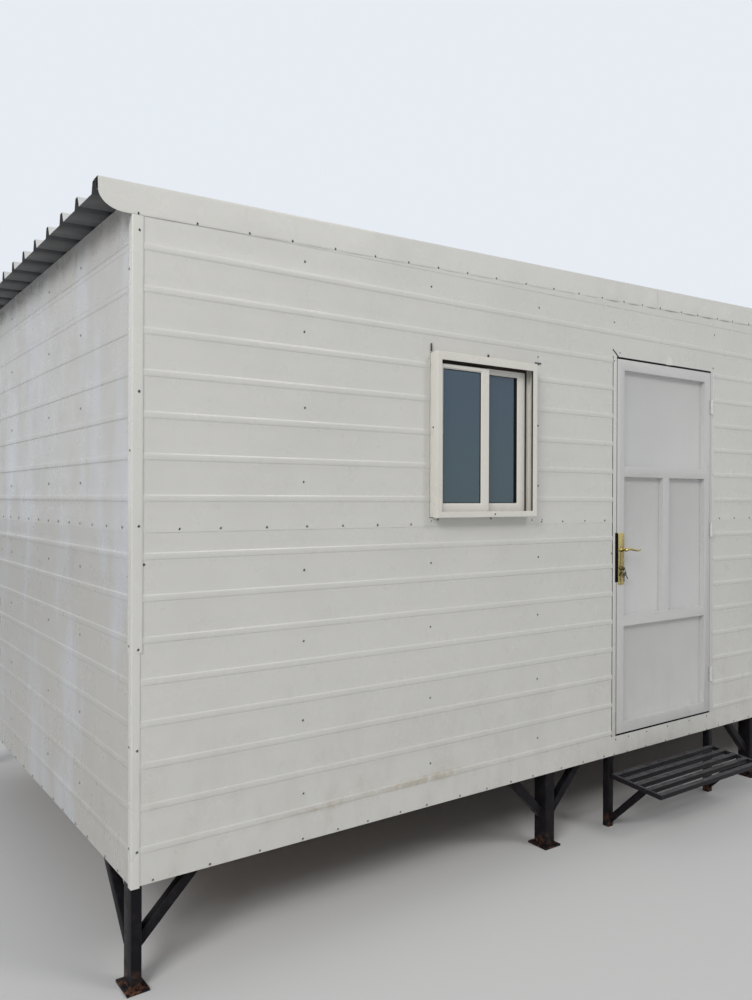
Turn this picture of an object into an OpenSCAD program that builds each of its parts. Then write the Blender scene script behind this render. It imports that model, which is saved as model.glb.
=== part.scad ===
// Portable site cabin on steel legs, clad in banded sheet, with a sheet roof that rises to the right.
// Millimetres. Ground at Z = 0, front wall facing -Y, origin below the middle of the whole object.

/* [Cabin] */
// Length over the wall sheets
cabin_l = 6206; // [5200:2:8000]
// Depth over the wall sheets
cabin_w = 3000; // [2200:20:3200]
// Height of the wall sheets' bottom edge above the ground
leg_h = 380; // [300:10:600]
// From that edge to the underside of the roof sheet at the low end
eaves_h = 2457; // [2400:1:2700]
// Angle at which the roof rises to the right
roof_fall = 1.4; // [0.6:0.1:2.5]
// Thickness of a wall, sheet included
wall_t = 60; // [50:1:80]

/* [Base] */
// Height of the chassis rails
rail_h = 80; // [60:5:140]
// Width of the chassis rails
rail_w = 50; // [40:5:80]
// How far the wall sheets hang below the rails
sheet_drop = 4; // [0:1:20]
// Greatest distance between floor joists
joist_pitch = 620; // [400:10:900]
// Width of a floor joist
joist_w = 40; // [30:5:60]
// Thickness of the floor board
floor_t = 18; // [12:1:30]
// Distance of the corner legs from the cabin's ends
leg_in_x = 4; // [3:1:60]
// Distance of the legs from the front and rear faces
leg_in_y = 12; // [6:1:60]
// Place of the middle legs, from the nearer end
leg_mid_x = 2134; // [1500:2:2300]
// Size of a corner leg's tube along the cabin
leg_x = 40; // [30:5:80]
// Size of a middle leg's tube along the cabin
leg_mid_w = 64; // [40:2:90]
// Size of a leg tube across the cabin
leg_y = 80; // [50:5:120]
// Wall of the leg tubes, and half the thickness of the struts under the step
tube_t = 3; // [2:0.5:5]
// Thickness of a foot plate
foot_t = 10; // [6:1:16]
// How far a foot plate reaches past its tube
foot_out = 22; // [10:1:45]
// Reach of a knee brace, both down the leg and along the rail
brace_reach = 245; // [110:5:300]
// Size of the square brace bars
brace_w = 40; // [20:1:40]
// Width of the struts under the step
strut_w = 35; // [20:1:40]

/* [Wall sheets] */
// Thickness of the sheet
sheet_t = 2; // [1:0.5:3]
// Distance between raised bands
band_pitch = 150; // [120:5:200]
// Width of a band at its foot
band_w = 28; // [22:1:40]
// Width of a band at its crest
band_crest = 20; // [10:1:21]
// Height of a band
band_h = 3; // [2:0.5:6]
// First band of the lower sheet, above its bottom edge
band_low = 125; // [80:1:160]
// First band of the upper sheet, above the lower sheet's bottom edge
band_high = 1384; // [1340:1:1420]
// Edge of the upper sheet, where it laps over the lower one
lap_z = 1260; // [1220:1:1290]
// Height of the lap
lap_h = 30; // [20:1:40]
// How far the lapped edge stands proud
lap_out = 1.5; // [1:0.1:2]
// Width of each side of an upper corner trim
trim_w = 37; // [30:1:60]
// Width of each side of a lower corner trim
trim_low_w = 29; // [20:1:50]
// How far the corner trims hang below the wall sheets
trim_drop = 6; // [0:1:15]
// Thickness of trims, fascias and strips
trim_t = 1.5; // [1:0.1:2.5]
// Height at which the upper corner trim laps over the lower one
trim_lap_z = 833; // [600:1:1100]
// Length of that lap
trim_lap = 25; // [10:1:60]
// Height of the infill strip above the front sheets, at the low end
infill_h = 62; // [35:1:80]
// Angle of the infill strip's bottom edge
infill_fall = 0.57; // [0.2:0.01:1]

/* [Roof] */
// Distance between roof ribs
rib_pitch = 208; // [180:1:250]
// Middle of the first rib, behind the front face
rib_first = 45; // [35:1:80]
// Height of a roof rib
rib_h = 40; // [20:1:45]
// Width of a rib at its foot
rib_foot = 58; // [45:1:70]
// Width of a rib at its crest
rib_crest = 26; // [18:1:35]
// Thickness of the roof sheet
roof_t = 3; // [2:0.5:5]
// Overhang of the roof past each end wall
roof_out = 124; // [60:1:160]
// Depth of the fascia
fascia_h = 112; // [80:1:140]
// Height of the rounded corner of the fascia
fascia_round = 68; // [40:1:80]
// Width of the fascia's top return
fascia_lip = 58; // [40:1:70]
// Where the two halves of the front fascia meet, as a distance left of the middle
fascia_joint = 59; // [0:1:600]
// Overlap of the two fascia halves
fascia_lap = 40; // [20:5:80]
// Size of the roof purlins
purlin = 40; // [30:1:60]
// Number of purlins
purlin_count = 7; // [4:1:9]
// Thickness of the ceiling board
ceiling_t = 9; // [6:1:15]
// Gap between the end walls and the ceiling board and purlins
roof_play = 4; // [2:1:12]

/* [Door] */
// Width of the door leaf
leaf_w = 866; // [760:1:920]
// Height of the door leaf
leaf_h = 2035; // [1900:1:2070]
// Thickness of the door leaf
leaf_t = 38; // [32:1:40]
// Bottom of the leaf above the wall sheets' bottom edge
leaf_z = 112; // [110:1:140]
// How far the leaf stands proud of the wall sheets
leaf_proud = 2; // [0:0.5:3]
// Gap at the lock side
gap_lock = 8; // [7:0.5:12]
// Gap at the hinge side
gap_hinge = 6; // [5:0.5:8]
// Gap above the leaf
gap_top = 8; // [5:0.5:12]
// Width of the door frame posts
jamb_w = 32; // [30:1:60]
// Height of the door head
head_h = 40; // [30:1:60]
// How far the door stop reaches over the leaf
stop_w = 10; // [8:1:14]
// Gap between the closed leaf and its stop
stop_gap = 6; // [5:0.5:7]
// Width of the stiles and rails
stile_w = 58; // [45:1:80]
// Middle of the upper cross rail, above the leaf's bottom
rail_high = 1425; // [1300:1:1450]
// Middle of the lower cross rail, above the leaf's bottom
rail_low = 610; // [500:1:700]
// Thickness of the door panels
panel_t = 8; // [4:1:12]
// Depth of the panels behind the stiles' outer face
panel_back = 28; // [6:1:28]
// Height of a hinge
hinge_h = 85; // [60:1:120]
// Radius of a hinge barrel
hinge_r = 7; // [6:0.5:9]
// Gap between a hinge barrel and the leaf's face
hinge_stand = 1; // [0.5:0.1:2]
// Radius of a hinge pin
pin_r = 3; // [2.5:0.1:3.5]
// Running clearance round a pin
pin_gap = 0.05; // [0.02:0.01:0.1]
// Gap between hinge knuckles
knuckle_gap = 0.5; // [0.3:0.1:1]
// Thickness of a hinge plate
plate_t = 2; // [1.5:0.1:2.2]
// Width of a hinge plate
plate_w = 30; // [20:1:34]
// Height of the lowest hinge above the leaf's bottom
hinge_low = 224; // [150:1:300]
// Height of the middle hinge
hinge_mid = 1093; // [900:1:1150]
// Height of the highest hinge
hinge_high = 1830; // [1600:1:1850]

/* [Lock] */
// Height of the lever above the leaf's bottom
lever_z = 1000; // [900:1:1100]
// Distance of the lever's spindle from the leaf's edge
lever_in = 30; // [28:1:50]
// Width of the lock plates
lock_w = 50; // [36:1:52]
// Height of the lock plates
lock_h = 282; // [200:1:300]
// Thickness of the lock plates
lock_t = 4; // [3:0.5:6]
// How far the plate reaches above the spindle
lock_up = 91; // [60:1:120]
// Height of the cylinder below the spindle
cylinder_down = 102; // [72:1:110]
// Length of the lever
lever_l = 136; // [90:1:140]
// Distance of the lever from the plate
lever_out = 42; // [35:1:55]
// Height of the lever's bar at its neck
lever_h0 = 15; // [11:0.5:18]
// Height of the lever's bar at its end
lever_h1 = 9; // [7:0.5:12]
// Thickness of the lever's bar
lever_t = 9; // [6:0.5:12]
// Rise and fall of the lever's wave
wave_h = 7; // [0:0.5:10]
// Radius of the lever's neck
neck_r = 9; // [7:0.5:10]
// Running clearance of the neck in its plate
neck_gap = 0.08; // [0.03:0.01:0.1]
// Clearance of the neck in the leaf
leaf_play = 1; // [0.5:0.1:2]
// Radius of the lock cylinder
cylinder_r = 8.2; // [7:0.1:9]
// How far the cylinder stands out of its plate
cylinder_out = 3; // [1:0.5:6]
// Thickness of a key
key_t = 2; // [1.5:0.1:3]
// Radius of a key's bow
bow_r = 11; // [9:0.5:14]
// Radius of the key ring
ring_r = 13; // [10:0.5:16]
// Thickness of the key ring's band
ring_t = 2; // [1.5:0.1:3]
// Width of the key ring's band
ring_w = 3; // [2:0.1:4]
// Angle at which a hanging key leans
key_lean = 22; // [5:1:35]
// Length of a hanging key
key_l = 50; // [40:1:60]
// Width of a key's blade
blade_w = 7; // [5:0.5:9]
// Depth of a key's teeth
tooth = 2; // [1:0.1:2.4]

/* [Window] */
// Left edge of the left window from the left end
window_x = 1358; // [900:1:1700]
// Outer width of a window
window_w = 634; // [560:1:720]
// Outer height of a window
window_h = 745; // [650:1:760]
// Bottom of a window above the wall sheets' bottom edge
window_z = 1300; // [1200:1:1400]
// How far a window stands out from the wall
window_out = 55; // [40:1:75]
// Width of the frame's front and rear lips
frame_lip = 29; // [22:1:36]
// Thickness of the lips
lip_t = 3; // [2:0.5:5]
// Thickness of the frame's channel
frame_web = 5; // [3:0.5:8]
// Height of the running rails in the channel
track_h = 12; // [8:0.5:14]
// Thickness of the running rails
track_t = 2; // [1.5:0.5:3]
// Distance between the running rails
track_pitch = 26; // [24:1:30]
// First running rail, behind the frame's front face
track_first = 4; // [3:0.5:10]
// Width of the upright sash members
sash_w = 48; // [36:1:52]
// Height of the level sash members
sash_rail_h = 58; // [45:1:64]
// Thickness of a sash
sash_t = 22; // [16:1:23]
// Depth of the groove round a sash that straddles the running rail
groove = 10; // [6:0.5:11]
// Clearance of a sash beside its rails and jambs
sash_play = 1; // [0.5:0.1:2]
// Room above a sash for lifting it in
sash_lift = 8; // [4:0.5:10]
// Overlap of the two closed sashes
sash_lap = 28; // [20:1:45]
// How far the inner sash stands open
sash_open = 35; // [0:1:200]
// Width and depth of the step round the glass
bead = 5; // [3:0.5:7]
// Thickness of the glass
glass_t = 5; // [4:0.5:8]

/* [Step] */
// Length of the door step
step_l = 934; // [800:2:1100]
// Depth of the door step in front of the wall
step_d = 316; // [280:2:400]
// How far the step sits left of the door's middle
step_left = 8; // [0:1:40]
// Angle at which the step droops outwards
step_droop = 4.9; // [0:0.1:7]
// Height of the step's top below the wall sheets' bottom edge
step_down = 95; // [60:5:180]
// Number of bars
step_bars = 5; // [3:1:7]
// Width of a bar
step_bar_w = 30; // [25:1:45]
// Height of the bars
step_bar_h = 25; // [20:1:40]
// Size of the square posts that carry the step
step_post = 40; // [30:1:50]
// How far a post reaches past the step's end
step_post_out = 17; // [0:1:25]
// Where a strut meets the step, in front of the wall
strut_d = 221; // [120:1:280]

/* [Hidden] */
$fn = 48;

// Small excess by which cutting shapes pass through a face
cut = 1;
// Gap left between pieces that rest against each other without being flat on flat
seat_gap = 0.3;

// Levels
rail_z = leg_h + sheet_drop;
floor_z = rail_z + rail_h;
floor_top = floor_z + floor_t;
roof_z = leg_h + eaves_h;
slope = tan(roof_fall);
infill_slope = tan(infill_fall);
fascia_top = rib_h + roof_t + trim_t + seat_gap;

// Middle of the whole object: roof ends left and right, the step in front, the feet behind
mid_x = cabin_l / 2;
box_x0 = -roof_out * cos(roof_fall) - fascia_top * sin(roof_fall);
box_x1 = (cabin_l + roof_out) * cos(roof_fall);
box_y0 = -step_d * cos(step_droop);
box_y1 = cabin_w - leg_in_y + foot_out;
origin_x = (box_x0 + box_x1) / 2;
origin_y = (box_y0 + box_y1) / 2;

// Door places
leaf_x0 = mid_x - leaf_w / 2;
leaf_x1 = mid_x + leaf_w / 2;
leaf_z0 = leg_h + leaf_z;
leaf_z1 = leaf_z0 + leaf_h;
leaf_y0 = -leaf_proud;
leaf_y1 = leaf_y0 + leaf_t;
door_x0 = leaf_x0 - gap_lock;
door_x1 = leaf_x1 + gap_hinge;
door_z1 = leaf_z1 + gap_top;
bay_x0 = door_x0 - jamb_w;
bay_x1 = door_x1 + jamb_w;
head_z1 = door_z1 + head_h;

// Hinge axis, in the middle of the hinge gap and just in front of the leaf
axis_x = leaf_x1 + gap_hinge / 2;
axis_y = leaf_y0 - hinge_r - hinge_stand;
hinge_zs = [leaf_z0 + hinge_low, leaf_z0 + hinge_mid, leaf_z0 + hinge_high];
knuckles = 5;
knuckle_h = hinge_h / knuckles;
frame_knuckles = [0 : 2 : knuckles - 1];
leaf_knuckles = [1 : 2 : knuckles - 1];

// Lock places
spindle_x = leaf_x0 + lever_in;
spindle_z = leaf_z0 + lever_z;

// Window places: the right window mirrors the left one
window_xs = [window_x, cabin_l - window_x - window_w];
window_y0 = -window_out;
window_z0 = leg_h + window_z;

// Heights of the walls' tops, just below the roof sheet, and of the infill's bottom edge,
// at a distance x from the left end
function roof_at(x) = roof_z - seat_gap + x * slope;
function infill_at(x) = roof_z - infill_h + x * infill_slope;

// Puts the cabin, drawn from its front left corner, in the middle of its own box
module placed() {
    translate([-origin_x, -origin_y, 0])
        children();
}

// A box given by its low and high corners
module box(lo, hi) {
    translate(lo)
        cube(hi - lo);
}

// A wall outline in the XZ plane, given as points, from y0 to y1
module wall_plate(points, y0, y1) {
    translate([0, y1, 0])
        rotate([90, 0, 0])
            linear_extrude(y1 - y0)
                polygon(points);
}

// A four sided wall outline from x0 to x1, from z0 up to the roof
function under_roof(x0, x1, z0) = [[x0, z0], [x1, z0], [x1, roof_at(x1)], [x0, roof_at(x0)]];

// Holes for the windows
module window_holes() {
    for (x = window_xs)
        box([x, -window_out - cut, window_z0],
            [x + window_w, wall_t + cut, window_z0 + window_h]);
}

// Outlines of the raised bands whose middles are at the heights zs, seen from the end of the wall
module band_outlines(zs) {
    for (z = zs)
        polygon([
            [0, z - band_w / 2], [-band_h, z - band_crest / 2],
            [-band_h, z + band_crest / 2], [0, z + band_w / 2]
        ]);
}

// Band heights of the lower and upper sheets, kept below the roof
low_bands = [for (z = [band_low : band_pitch : lap_z - band_w]) leg_h + z];
high_bands = [for (z = [band_high : band_pitch : eaves_h - infill_h - band_w]) leg_h + z];

// Bands along X from x0 to x1, standing out to -Y from the plane Y = 0
module bands(x0, x1, zs) {
    translate([x1, 0, 0])
        rotate([90, 0, -90])
            linear_extrude(x1 - x0)
                mirror([1, 0])
                    band_outlines(zs);
}

// Lower and upper banded sheets of a wall bay from x0 to x1, lying against the plane Y = sheet_t.
// The top edge follows the roof from top0 to top1.
module sheets(x0, x1, top0, top1) {
    lap = leg_h + lap_z;
    union() {
        box([x0, 0, leg_h], [x1, sheet_t, lap]);
        bands(x0, x1, low_bands);
    }
    union() {
        wall_plate([[x0, lap], [x1, lap], [x1, top1], [x0, top0]], 0, sheet_t);
        bands(x0, x1, high_bands);
        box([x0, -lap_out, lap - lap_h / 2], [x1, 0, lap + lap_h / 2]);
    }
}

// Rectangular tube standing on z0
module upright(x, y, z0, z1, sx, sy) {
    difference() {
        box([x, y, z0], [x + sx, y + sy, z1]);
        box([x + tube_t, y + tube_t, z0 - cut], [x + sx - tube_t, y + sy - tube_t, z1 + cut]);
    }
}

// Legs in a row at depth y: a tube and a foot plate each
leg_xs = [leg_in_x, leg_mid_x, cabin_l - leg_mid_x - leg_mid_w, cabin_l - leg_in_x - leg_x];
leg_ws = [leg_x, leg_mid_w, leg_mid_w, leg_x];
front_leg_y = leg_in_y;
rear_leg_y = cabin_w - leg_in_y - leg_y;
last_leg = len(leg_xs) - 1;

module leg_row(y) {
    for (i = [0 : last_leg]) {
        x0 = leg_xs[i];
        x1 = x0 + leg_ws[i];
        union() {
            upright(x0, y, foot_t, rail_z, leg_ws[i], leg_y);
            box([x0 - foot_out, y - foot_out, 0], [x1 + foot_out, y + leg_y + foot_out, foot_t]);
        }
    }
}

// A knee brace in the XZ plane, from the leg's face at x out along the rail
module knee_x(x, y, side) {
    w = brace_w * sqrt(2);
    translate([x, y + (leg_y + brace_w) / 2, 0])
        mirror([side < 0 ? 1 : 0, 0, 0])
            rotate([90, 0, 0])
                linear_extrude(brace_w)
                    polygon([
                        [0, rail_z - brace_reach], [brace_reach, rail_z],
                        [brace_reach - w, rail_z], [0, rail_z - brace_reach + w]
                    ]);
}

// A knee brace in the YZ plane, from the leg's face at y inwards along the end rail
module knee_y(x, y, side) {
    w = brace_w * sqrt(2);
    translate([x + (leg_x - brace_w) / 2, y, 0])
        mirror([0, side < 0 ? 1 : 0, 0])
            rotate([90, 0, 90])
                linear_extrude(brace_w)
                    polygon([
                        [0, rail_z - brace_reach], [brace_reach, rail_z],
                        [brace_reach - w, rail_z], [0, rail_z - brace_reach + w]
                    ]);
}

module chassis_rails() {
    y1 = cabin_w - sheet_t;
    x1 = cabin_l - sheet_t;
    color("#1d1c20") placed() {
        difference() {
            box([sheet_t, sheet_t, rail_z], [x1, y1, floor_z]);
            box([sheet_t + rail_w, sheet_t + rail_w, rail_z - cut],
                [x1 - rail_w, y1 - rail_w, floor_z + cut]);
        }
    }
}

module floor_joists() {
    inner = cabin_l - 2 * (sheet_t + rail_w);
    bays = ceil(inner / joist_pitch);
    color("#242328") placed()
        for (i = [1 : bays - 1]) {
            x = sheet_t + rail_w + i * inner / bays - joist_w / 2;
            box([x, sheet_t + rail_w, rail_z], [x + joist_w, cabin_w - sheet_t - rail_w, floor_z]);
        }
}

module front_legs() {
    color("#1d1c20") placed()
        leg_row(front_leg_y);
}

module rear_legs() {
    color("#1d1c20") placed()
        leg_row(rear_leg_y);
}

module knee_braces() {
    color("#1d1c20") placed()
        for (row = [0, 1]) {
            y = row == 0 ? front_leg_y : rear_leg_y;
            for (i = [0 : last_leg]) {
                if (i < last_leg)
                    knee_x(leg_xs[i] + leg_ws[i], y, 1);
                if (i > 0)
                    knee_x(leg_xs[i], y, -1);
            }
            for (i = [0, last_leg])
                knee_y(leg_xs[i], row == 0 ? y + leg_y : y, row == 0 ? 1 : -1);
        }
}

// The step hangs on two posts just behind the wall's face
step_z = leg_h - step_down;
step_x0 = mid_x - step_l / 2 - step_left;
step_x1 = step_x0 + step_l;
step_post_y0 = max(sheet_t, step_bar_h * sin(step_droop)) + seat_gap;
step_post_xs = [step_x0 - step_post_out, step_x1 + step_post_out - step_post];

// Height of the drooping step's underside at a depth y
function step_under(y) =
    step_z + (y - step_bar_h * sin(step_droop)) * tan(step_droop) - step_bar_h * cos(step_droop);

// Posts, each with a strut that props the step near its front
module step_posts() {
    strut_y = -strut_d;
    strut_z = step_under(strut_y) + strut_y;
    w = strut_w * sqrt(2);
    color("#1d1c20") placed()
        for (x = step_post_xs) {
            strut_x = max(x, step_x0) + (min(x + step_post, step_x1) - max(x, step_x0)) / 2 - tube_t;
            upright(x, step_post_y0, 0, rail_z, step_post, step_post);
            translate([strut_x, 0, 0])
                rotate([90, 0, 90])
                    linear_extrude(2 * tube_t)
                        polygon([
                            [step_post_y0, strut_z], [strut_y, step_under(strut_y) - seat_gap],
                            [strut_y + w, step_under(strut_y + w) - seat_gap], [step_post_y0, strut_z + w]
                        ]);
        }
}

// Slatted step, drawn level and then turned down about its back edge
module door_step() {
    gap = (step_d - step_bars * step_bar_w) / (step_bars - 1);
    color("#2b2a30") placed() {
        translate([0, 0, step_z])
            rotate([step_droop, 0, 0])
                difference() {
                    box([step_x0, -step_d, -step_bar_h], [step_x1, 0, 0]);
                    for (i = [0 : step_bars - 2]) {
                        y = -step_d + step_bar_w + i * (step_bar_w + gap);
                        box([step_x0 + step_bar_w / 2, y, -step_bar_h - cut],
                            [step_x1 - step_bar_w / 2, y + gap, cut]);
                    }
                }
    }
}

module floor_board() {
    color("#8d8378") placed()
        box([sheet_t, sheet_t, floor_z], [cabin_l - sheet_t, cabin_w - sheet_t, floor_top]);
}

module front_wall_left() {
    color("#e6e6e2") placed()
        difference() {
            wall_plate(under_roof(sheet_t, bay_x0, floor_top), sheet_t, wall_t);
            window_holes();
        }
}

module front_wall_right() {
    color("#e6e6e2") placed()
        difference() {
            wall_plate(under_roof(bay_x1, cabin_l - sheet_t, floor_top), sheet_t, wall_t);
            window_holes();
        }
}

module front_wall_over_door() {
    color("#e6e6e2") placed()
        wall_plate(under_roof(bay_x0, bay_x1, head_z1), sheet_t, wall_t);
}

module rear_wall() {
    color("#e6e6e2") placed()
        wall_plate(under_roof(sheet_t, cabin_l - sheet_t, floor_top), cabin_w - wall_t, cabin_w - sheet_t);
}

module end_wall(x0, x1) {
    wall_plate(under_roof(x0, x1, floor_top), wall_t, cabin_w - wall_t);
}

module left_end_wall() {
    color("#e6e6e2") placed()
        end_wall(sheet_t, wall_t);
}

module right_end_wall() {
    color("#e6e6e2") placed()
        end_wall(cabin_l - wall_t, cabin_l - sheet_t);
}

module front_sheets_left() {
    color("#e9e8e3") placed()
        difference() {
            sheets(0, bay_x0, roof_at(0), roof_at(bay_x0));
            window_holes();
        }
}

module front_sheets_right() {
    color("#e9e8e3") placed()
        difference() {
            sheets(bay_x1, cabin_l, roof_at(bay_x1), roof_at(cabin_l));
            window_holes();
        }
}

module sheet_over_door() {
    color("#e9e8e3") placed()
        union() {
            wall_plate(under_roof(bay_x0, bay_x1, head_z1), 0, sheet_t);
            bands(bay_x0, bay_x1, [for (z = high_bands) if (z > head_z1 + band_w / 2) z]);
        }
}

module threshold_strip() {
    color("#e2e1dc") placed()
        box([bay_x0, 0, leg_h], [bay_x1, sheet_t, floor_top]);
}

module rear_sheets() {
    color("#e9e8e3") placed()
        translate([0, cabin_w, 0])
            mirror([0, 1, 0])
                sheets(0, cabin_l, roof_at(0), roof_at(cabin_l));
}

module left_end_sheets() {
    color("#e9e8e3") placed()
        translate([0, cabin_w, 0])
            rotate([0, 0, -90])
                sheets(sheet_t, cabin_w - sheet_t, roof_at(0), roof_at(0));
}

module right_end_sheets() {
    color("#e9e8e3") placed()
        translate([cabin_l, 0, 0])
            rotate([0, 0, 90])
                sheets(sheet_t, cabin_w - sheet_t, roof_at(cabin_l - sheet_t), roof_at(cabin_l - sheet_t));
}

// An angle round the corner from z0 to z1, w wide on both sides, its inner faces out beyond the corner
module angle_strip(w, out, z0, z1) {
    difference() {
        box([-out - trim_t, -out - trim_t, z0], [w, w, z1]);
        box([-out, -out, z0 - cut], [w + cut, w + cut, z1 + cut]);
    }
}

// One corner trim in two lengths: the lower lies on the bands, the upper laps over it
module corner_angle(z1) {
    lap = leg_h + trim_lap_z;
    angle_strip(trim_low_w, band_h, leg_h - trim_drop, lap + trim_lap);
    angle_strip(trim_w, band_h + trim_t, lap, z1);
}

// Each corner trim ends just below its fascia, so the right ones are longer
module corner_trims() {
    low = roof_z + fascia_low - seat_gap;
    high = low + (cabin_l - trim_w) * slope;
    color("#eeede8") placed() {
        for (y = [0, cabin_w])
            translate([0, y, 0])
                mirror([0, y == 0 ? 0 : 1, 0]) {
                    corner_angle(low);
                    translate([cabin_l, 0, 0])
                        mirror([1, 0, 0])
                            corner_angle(high);
                }
    }
}

// The strip between the wall sheets and the roof grows taller to the right
module infill() {
    wall_plate([
        [0, infill_at(0)], [cabin_l, infill_at(cabin_l)],
        [cabin_l, roof_at(cabin_l)], [0, roof_at(0)]
    ], -trim_t, 0);
}

module infill_strips() {
    color("#e9e8e3") placed() {
        infill();
        translate([0, cabin_w, 0])
            mirror([0, 1, 0])
                infill();
    }
}

// Outline of the whole fascia in its own plane, with elliptic lower corners under the overhangs
fascia_low = fascia_top - fascia_h;
fascia_x0 = -roof_out;
fascia_x1 = cabin_l + roof_out;
fascia_y = -2 * trim_t - seat_gap;
round_steps = 12;
function quarter(cx, cz, rx, rz, a0) = [
    for (i = [0 : round_steps])
        let (a = a0 + i * 90 / round_steps)
            [cx + rx * cos(a), cz + rz * sin(a)]
];
fascia_outline = concat(
    [[fascia_x1, fascia_top], [fascia_x0, fascia_top]],
    quarter(0, fascia_low + fascia_round, roof_out, fascia_round, 180),
    quarter(cabin_l, fascia_low + fascia_round, roof_out, fascia_round, 270)
);

// Turns what is drawn level, with Z = 0 at the roof sheet's underside, to the roof's angle
module on_slope() {
    translate([0, 0, roof_z])
        rotate([0, -roof_fall, 0])
            children();
}

// Fascia plate between x0 and x1 with its face at y, and its top return over the roof's first rib
module fascia(x0, x1, y) {
    union() {
        intersection() {
            wall_plate(fascia_outline, y, y + trim_t);
            box([x0, y - cut, fascia_low - cut], [x1, y + trim_t + cut, fascia_top + cut]);
        }
        box([max(x0, fascia_x0), y, fascia_top - trim_t], [min(x1, fascia_x1), y + fascia_lip, fascia_top]);
    }
}

module front_fascia() {
    joint = mid_x - fascia_joint;
    color("#efeee9") placed()
        on_slope() {
            fascia(fascia_x0, joint, fascia_y);
            fascia(joint - fascia_lap, fascia_x1, fascia_y - trim_t);
        }
}

module rear_fascia() {
    color("#efeee9") placed()
        translate([0, cabin_w, 0])
            mirror([0, 1, 0])
                on_slope()
                    fascia(fascia_x0, fascia_x1, fascia_y);
}

// Cross section of the roof sheet: one long trapezoid wave from front to rear
rib_ys = [for (y = [rib_first : rib_pitch : cabin_w - rib_foot / 2 - trim_t]) y];
function wave(z) = [for (y = rib_ys) for (p = [
    [-rib_foot / 2, 0], [-rib_crest / 2, rib_h], [rib_crest / 2, rib_h], [rib_foot / 2, 0]
]) [y + p[0], z + p[1]]];
function reversed(list) = [for (i = [len(list) - 1 : -1 : 0]) list[i]];
roof_y0 = 0;
roof_y1 = cabin_w;
roof_outline = concat(
    [[roof_y0, 0]], wave(0), [[roof_y1, 0], [roof_y1, roof_t]], reversed(wave(roof_t)), [[roof_y0, roof_t]]
);

module roof_sheet() {
    color("#d9dad8") placed()
        on_slope()
            translate([fascia_x0, 0, 0])
                rotate([90, 0, 90])
                    linear_extrude(fascia_x1 - fascia_x0)
                        polygon(roof_outline);
}

// Purlins lie between front and rear walls, their tops against the roof sheet
module roof_purlins() {
    x0 = wall_t + 2 * roof_play;
    span = cabin_l - 2 * x0 - purlin;
    color("#3a3a3e") placed()
        on_slope()
            for (i = [0 : purlin_count - 1]) {
                x = x0 + i * span / (purlin_count - 1);
                box([x, wall_t + seat_gap, -purlin], [x + purlin, cabin_w - wall_t - seat_gap, 0]);
            }
}

module ceiling_board() {
    x0 = wall_t + roof_play;
    color("#eceae4") placed()
        on_slope()
            box([x0, wall_t + seat_gap, -purlin - ceiling_t],
                [cabin_l - x0, cabin_w - wall_t - seat_gap, -purlin]);
}

// Door frame post with its stop, from the outer side xa to the inner side xb
module jamb(xa, xb, stop_x) {
    union() {
        box([min(xa, xb), 0, floor_top], [max(xa, xb), wall_t, door_z1]);
        box([min(xb, stop_x), leaf_y1 + stop_gap, floor_top], [max(xb, stop_x), wall_t, door_z1]);
    }
}

module door_jamb_left() {
    color("#e0e0dc") placed()
        jamb(bay_x0, door_x0, leaf_x0 + stop_w);
}

module door_jamb_right() {
    color("#e0e0dc") placed()
        jamb(bay_x1, door_x1, leaf_x1 - stop_w);
}

module door_head() {
    color("#e0e0dc") placed()
        union() {
            box([bay_x0, sheet_t, door_z1], [bay_x1, wall_t, head_z1]);
            box([leaf_x0 + stop_w, leaf_y1 + stop_gap, leaf_z1 - stop_w],
                [leaf_x1 - stop_w, wall_t, door_z1]);
        }
}

// Folded trims over the posts' faces, and the strip above the leaf
module jamb_trims() {
    color("#eeede8") placed() {
        box([bay_x0, -trim_t, floor_top], [door_x0, 0, door_z1]);
        box([door_x1 + jamb_w / 2, -trim_t, floor_top], [bay_x1, 0, door_z1]);
        box([bay_x0, 0, door_z1], [bay_x1, sheet_t, head_z1]);
    }
}

// Ring of a hinge knuckle number k, with its bore
module knuckle(k, bore) {
    z = -hinge_h / 2 + k * knuckle_h;
    translate([0, 0, z + knuckle_gap / 2])
        difference() {
            cylinder(r = hinge_r, h = knuckle_h - knuckle_gap);
            translate([0, 0, -cut])
                cylinder(r = bore, h = knuckle_h + 2 * cut);
        }
}

// Hinge plate on one side of the axis, with tongues to the knuckles ks. side is 1 for the frame.
module hinge_plate(side, ks) {
    start = hinge_r + hinge_stand;
    tongue = (pin_r + hinge_r) / 2;
    x0 = side > 0 ? gap_hinge / 2 - plate_t : -gap_hinge / 2;
    box([x0, start, -hinge_h / 2], [x0 + plate_t, start + plate_w, hinge_h / 2]);
    for (k = ks) {
        z = -hinge_h / 2 + k * knuckle_h;
        box([x0, tongue, z + knuckle_gap / 2], [x0 + plate_t, start, z + knuckle_h - knuckle_gap / 2]);
    }
}

// The pin is one with the frame's knuckles, whose bores it fills
module frame_hinge_halves() {
    color("#b9b8b2") placed()
        for (z = hinge_zs)
            translate([axis_x, axis_y, z])
                union() {
                    for (k = frame_knuckles)
                        knuckle(k, pin_r / 2);
                    hinge_plate(1, frame_knuckles);
                    translate([0, 0, (knuckle_gap - hinge_h) / 2])
                        cylinder(r = pin_r, h = hinge_h - knuckle_gap);
                }
}

module leaf_hinge_halves() {
    color("#b9b8b2") placed()
        for (z = hinge_zs)
            translate([axis_x, axis_y, z])
                union() {
                    for (k = leaf_knuckles)
                        knuckle(k, pin_r + pin_gap);
                    hinge_plate(-1, leaf_knuckles);
                }
}

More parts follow.
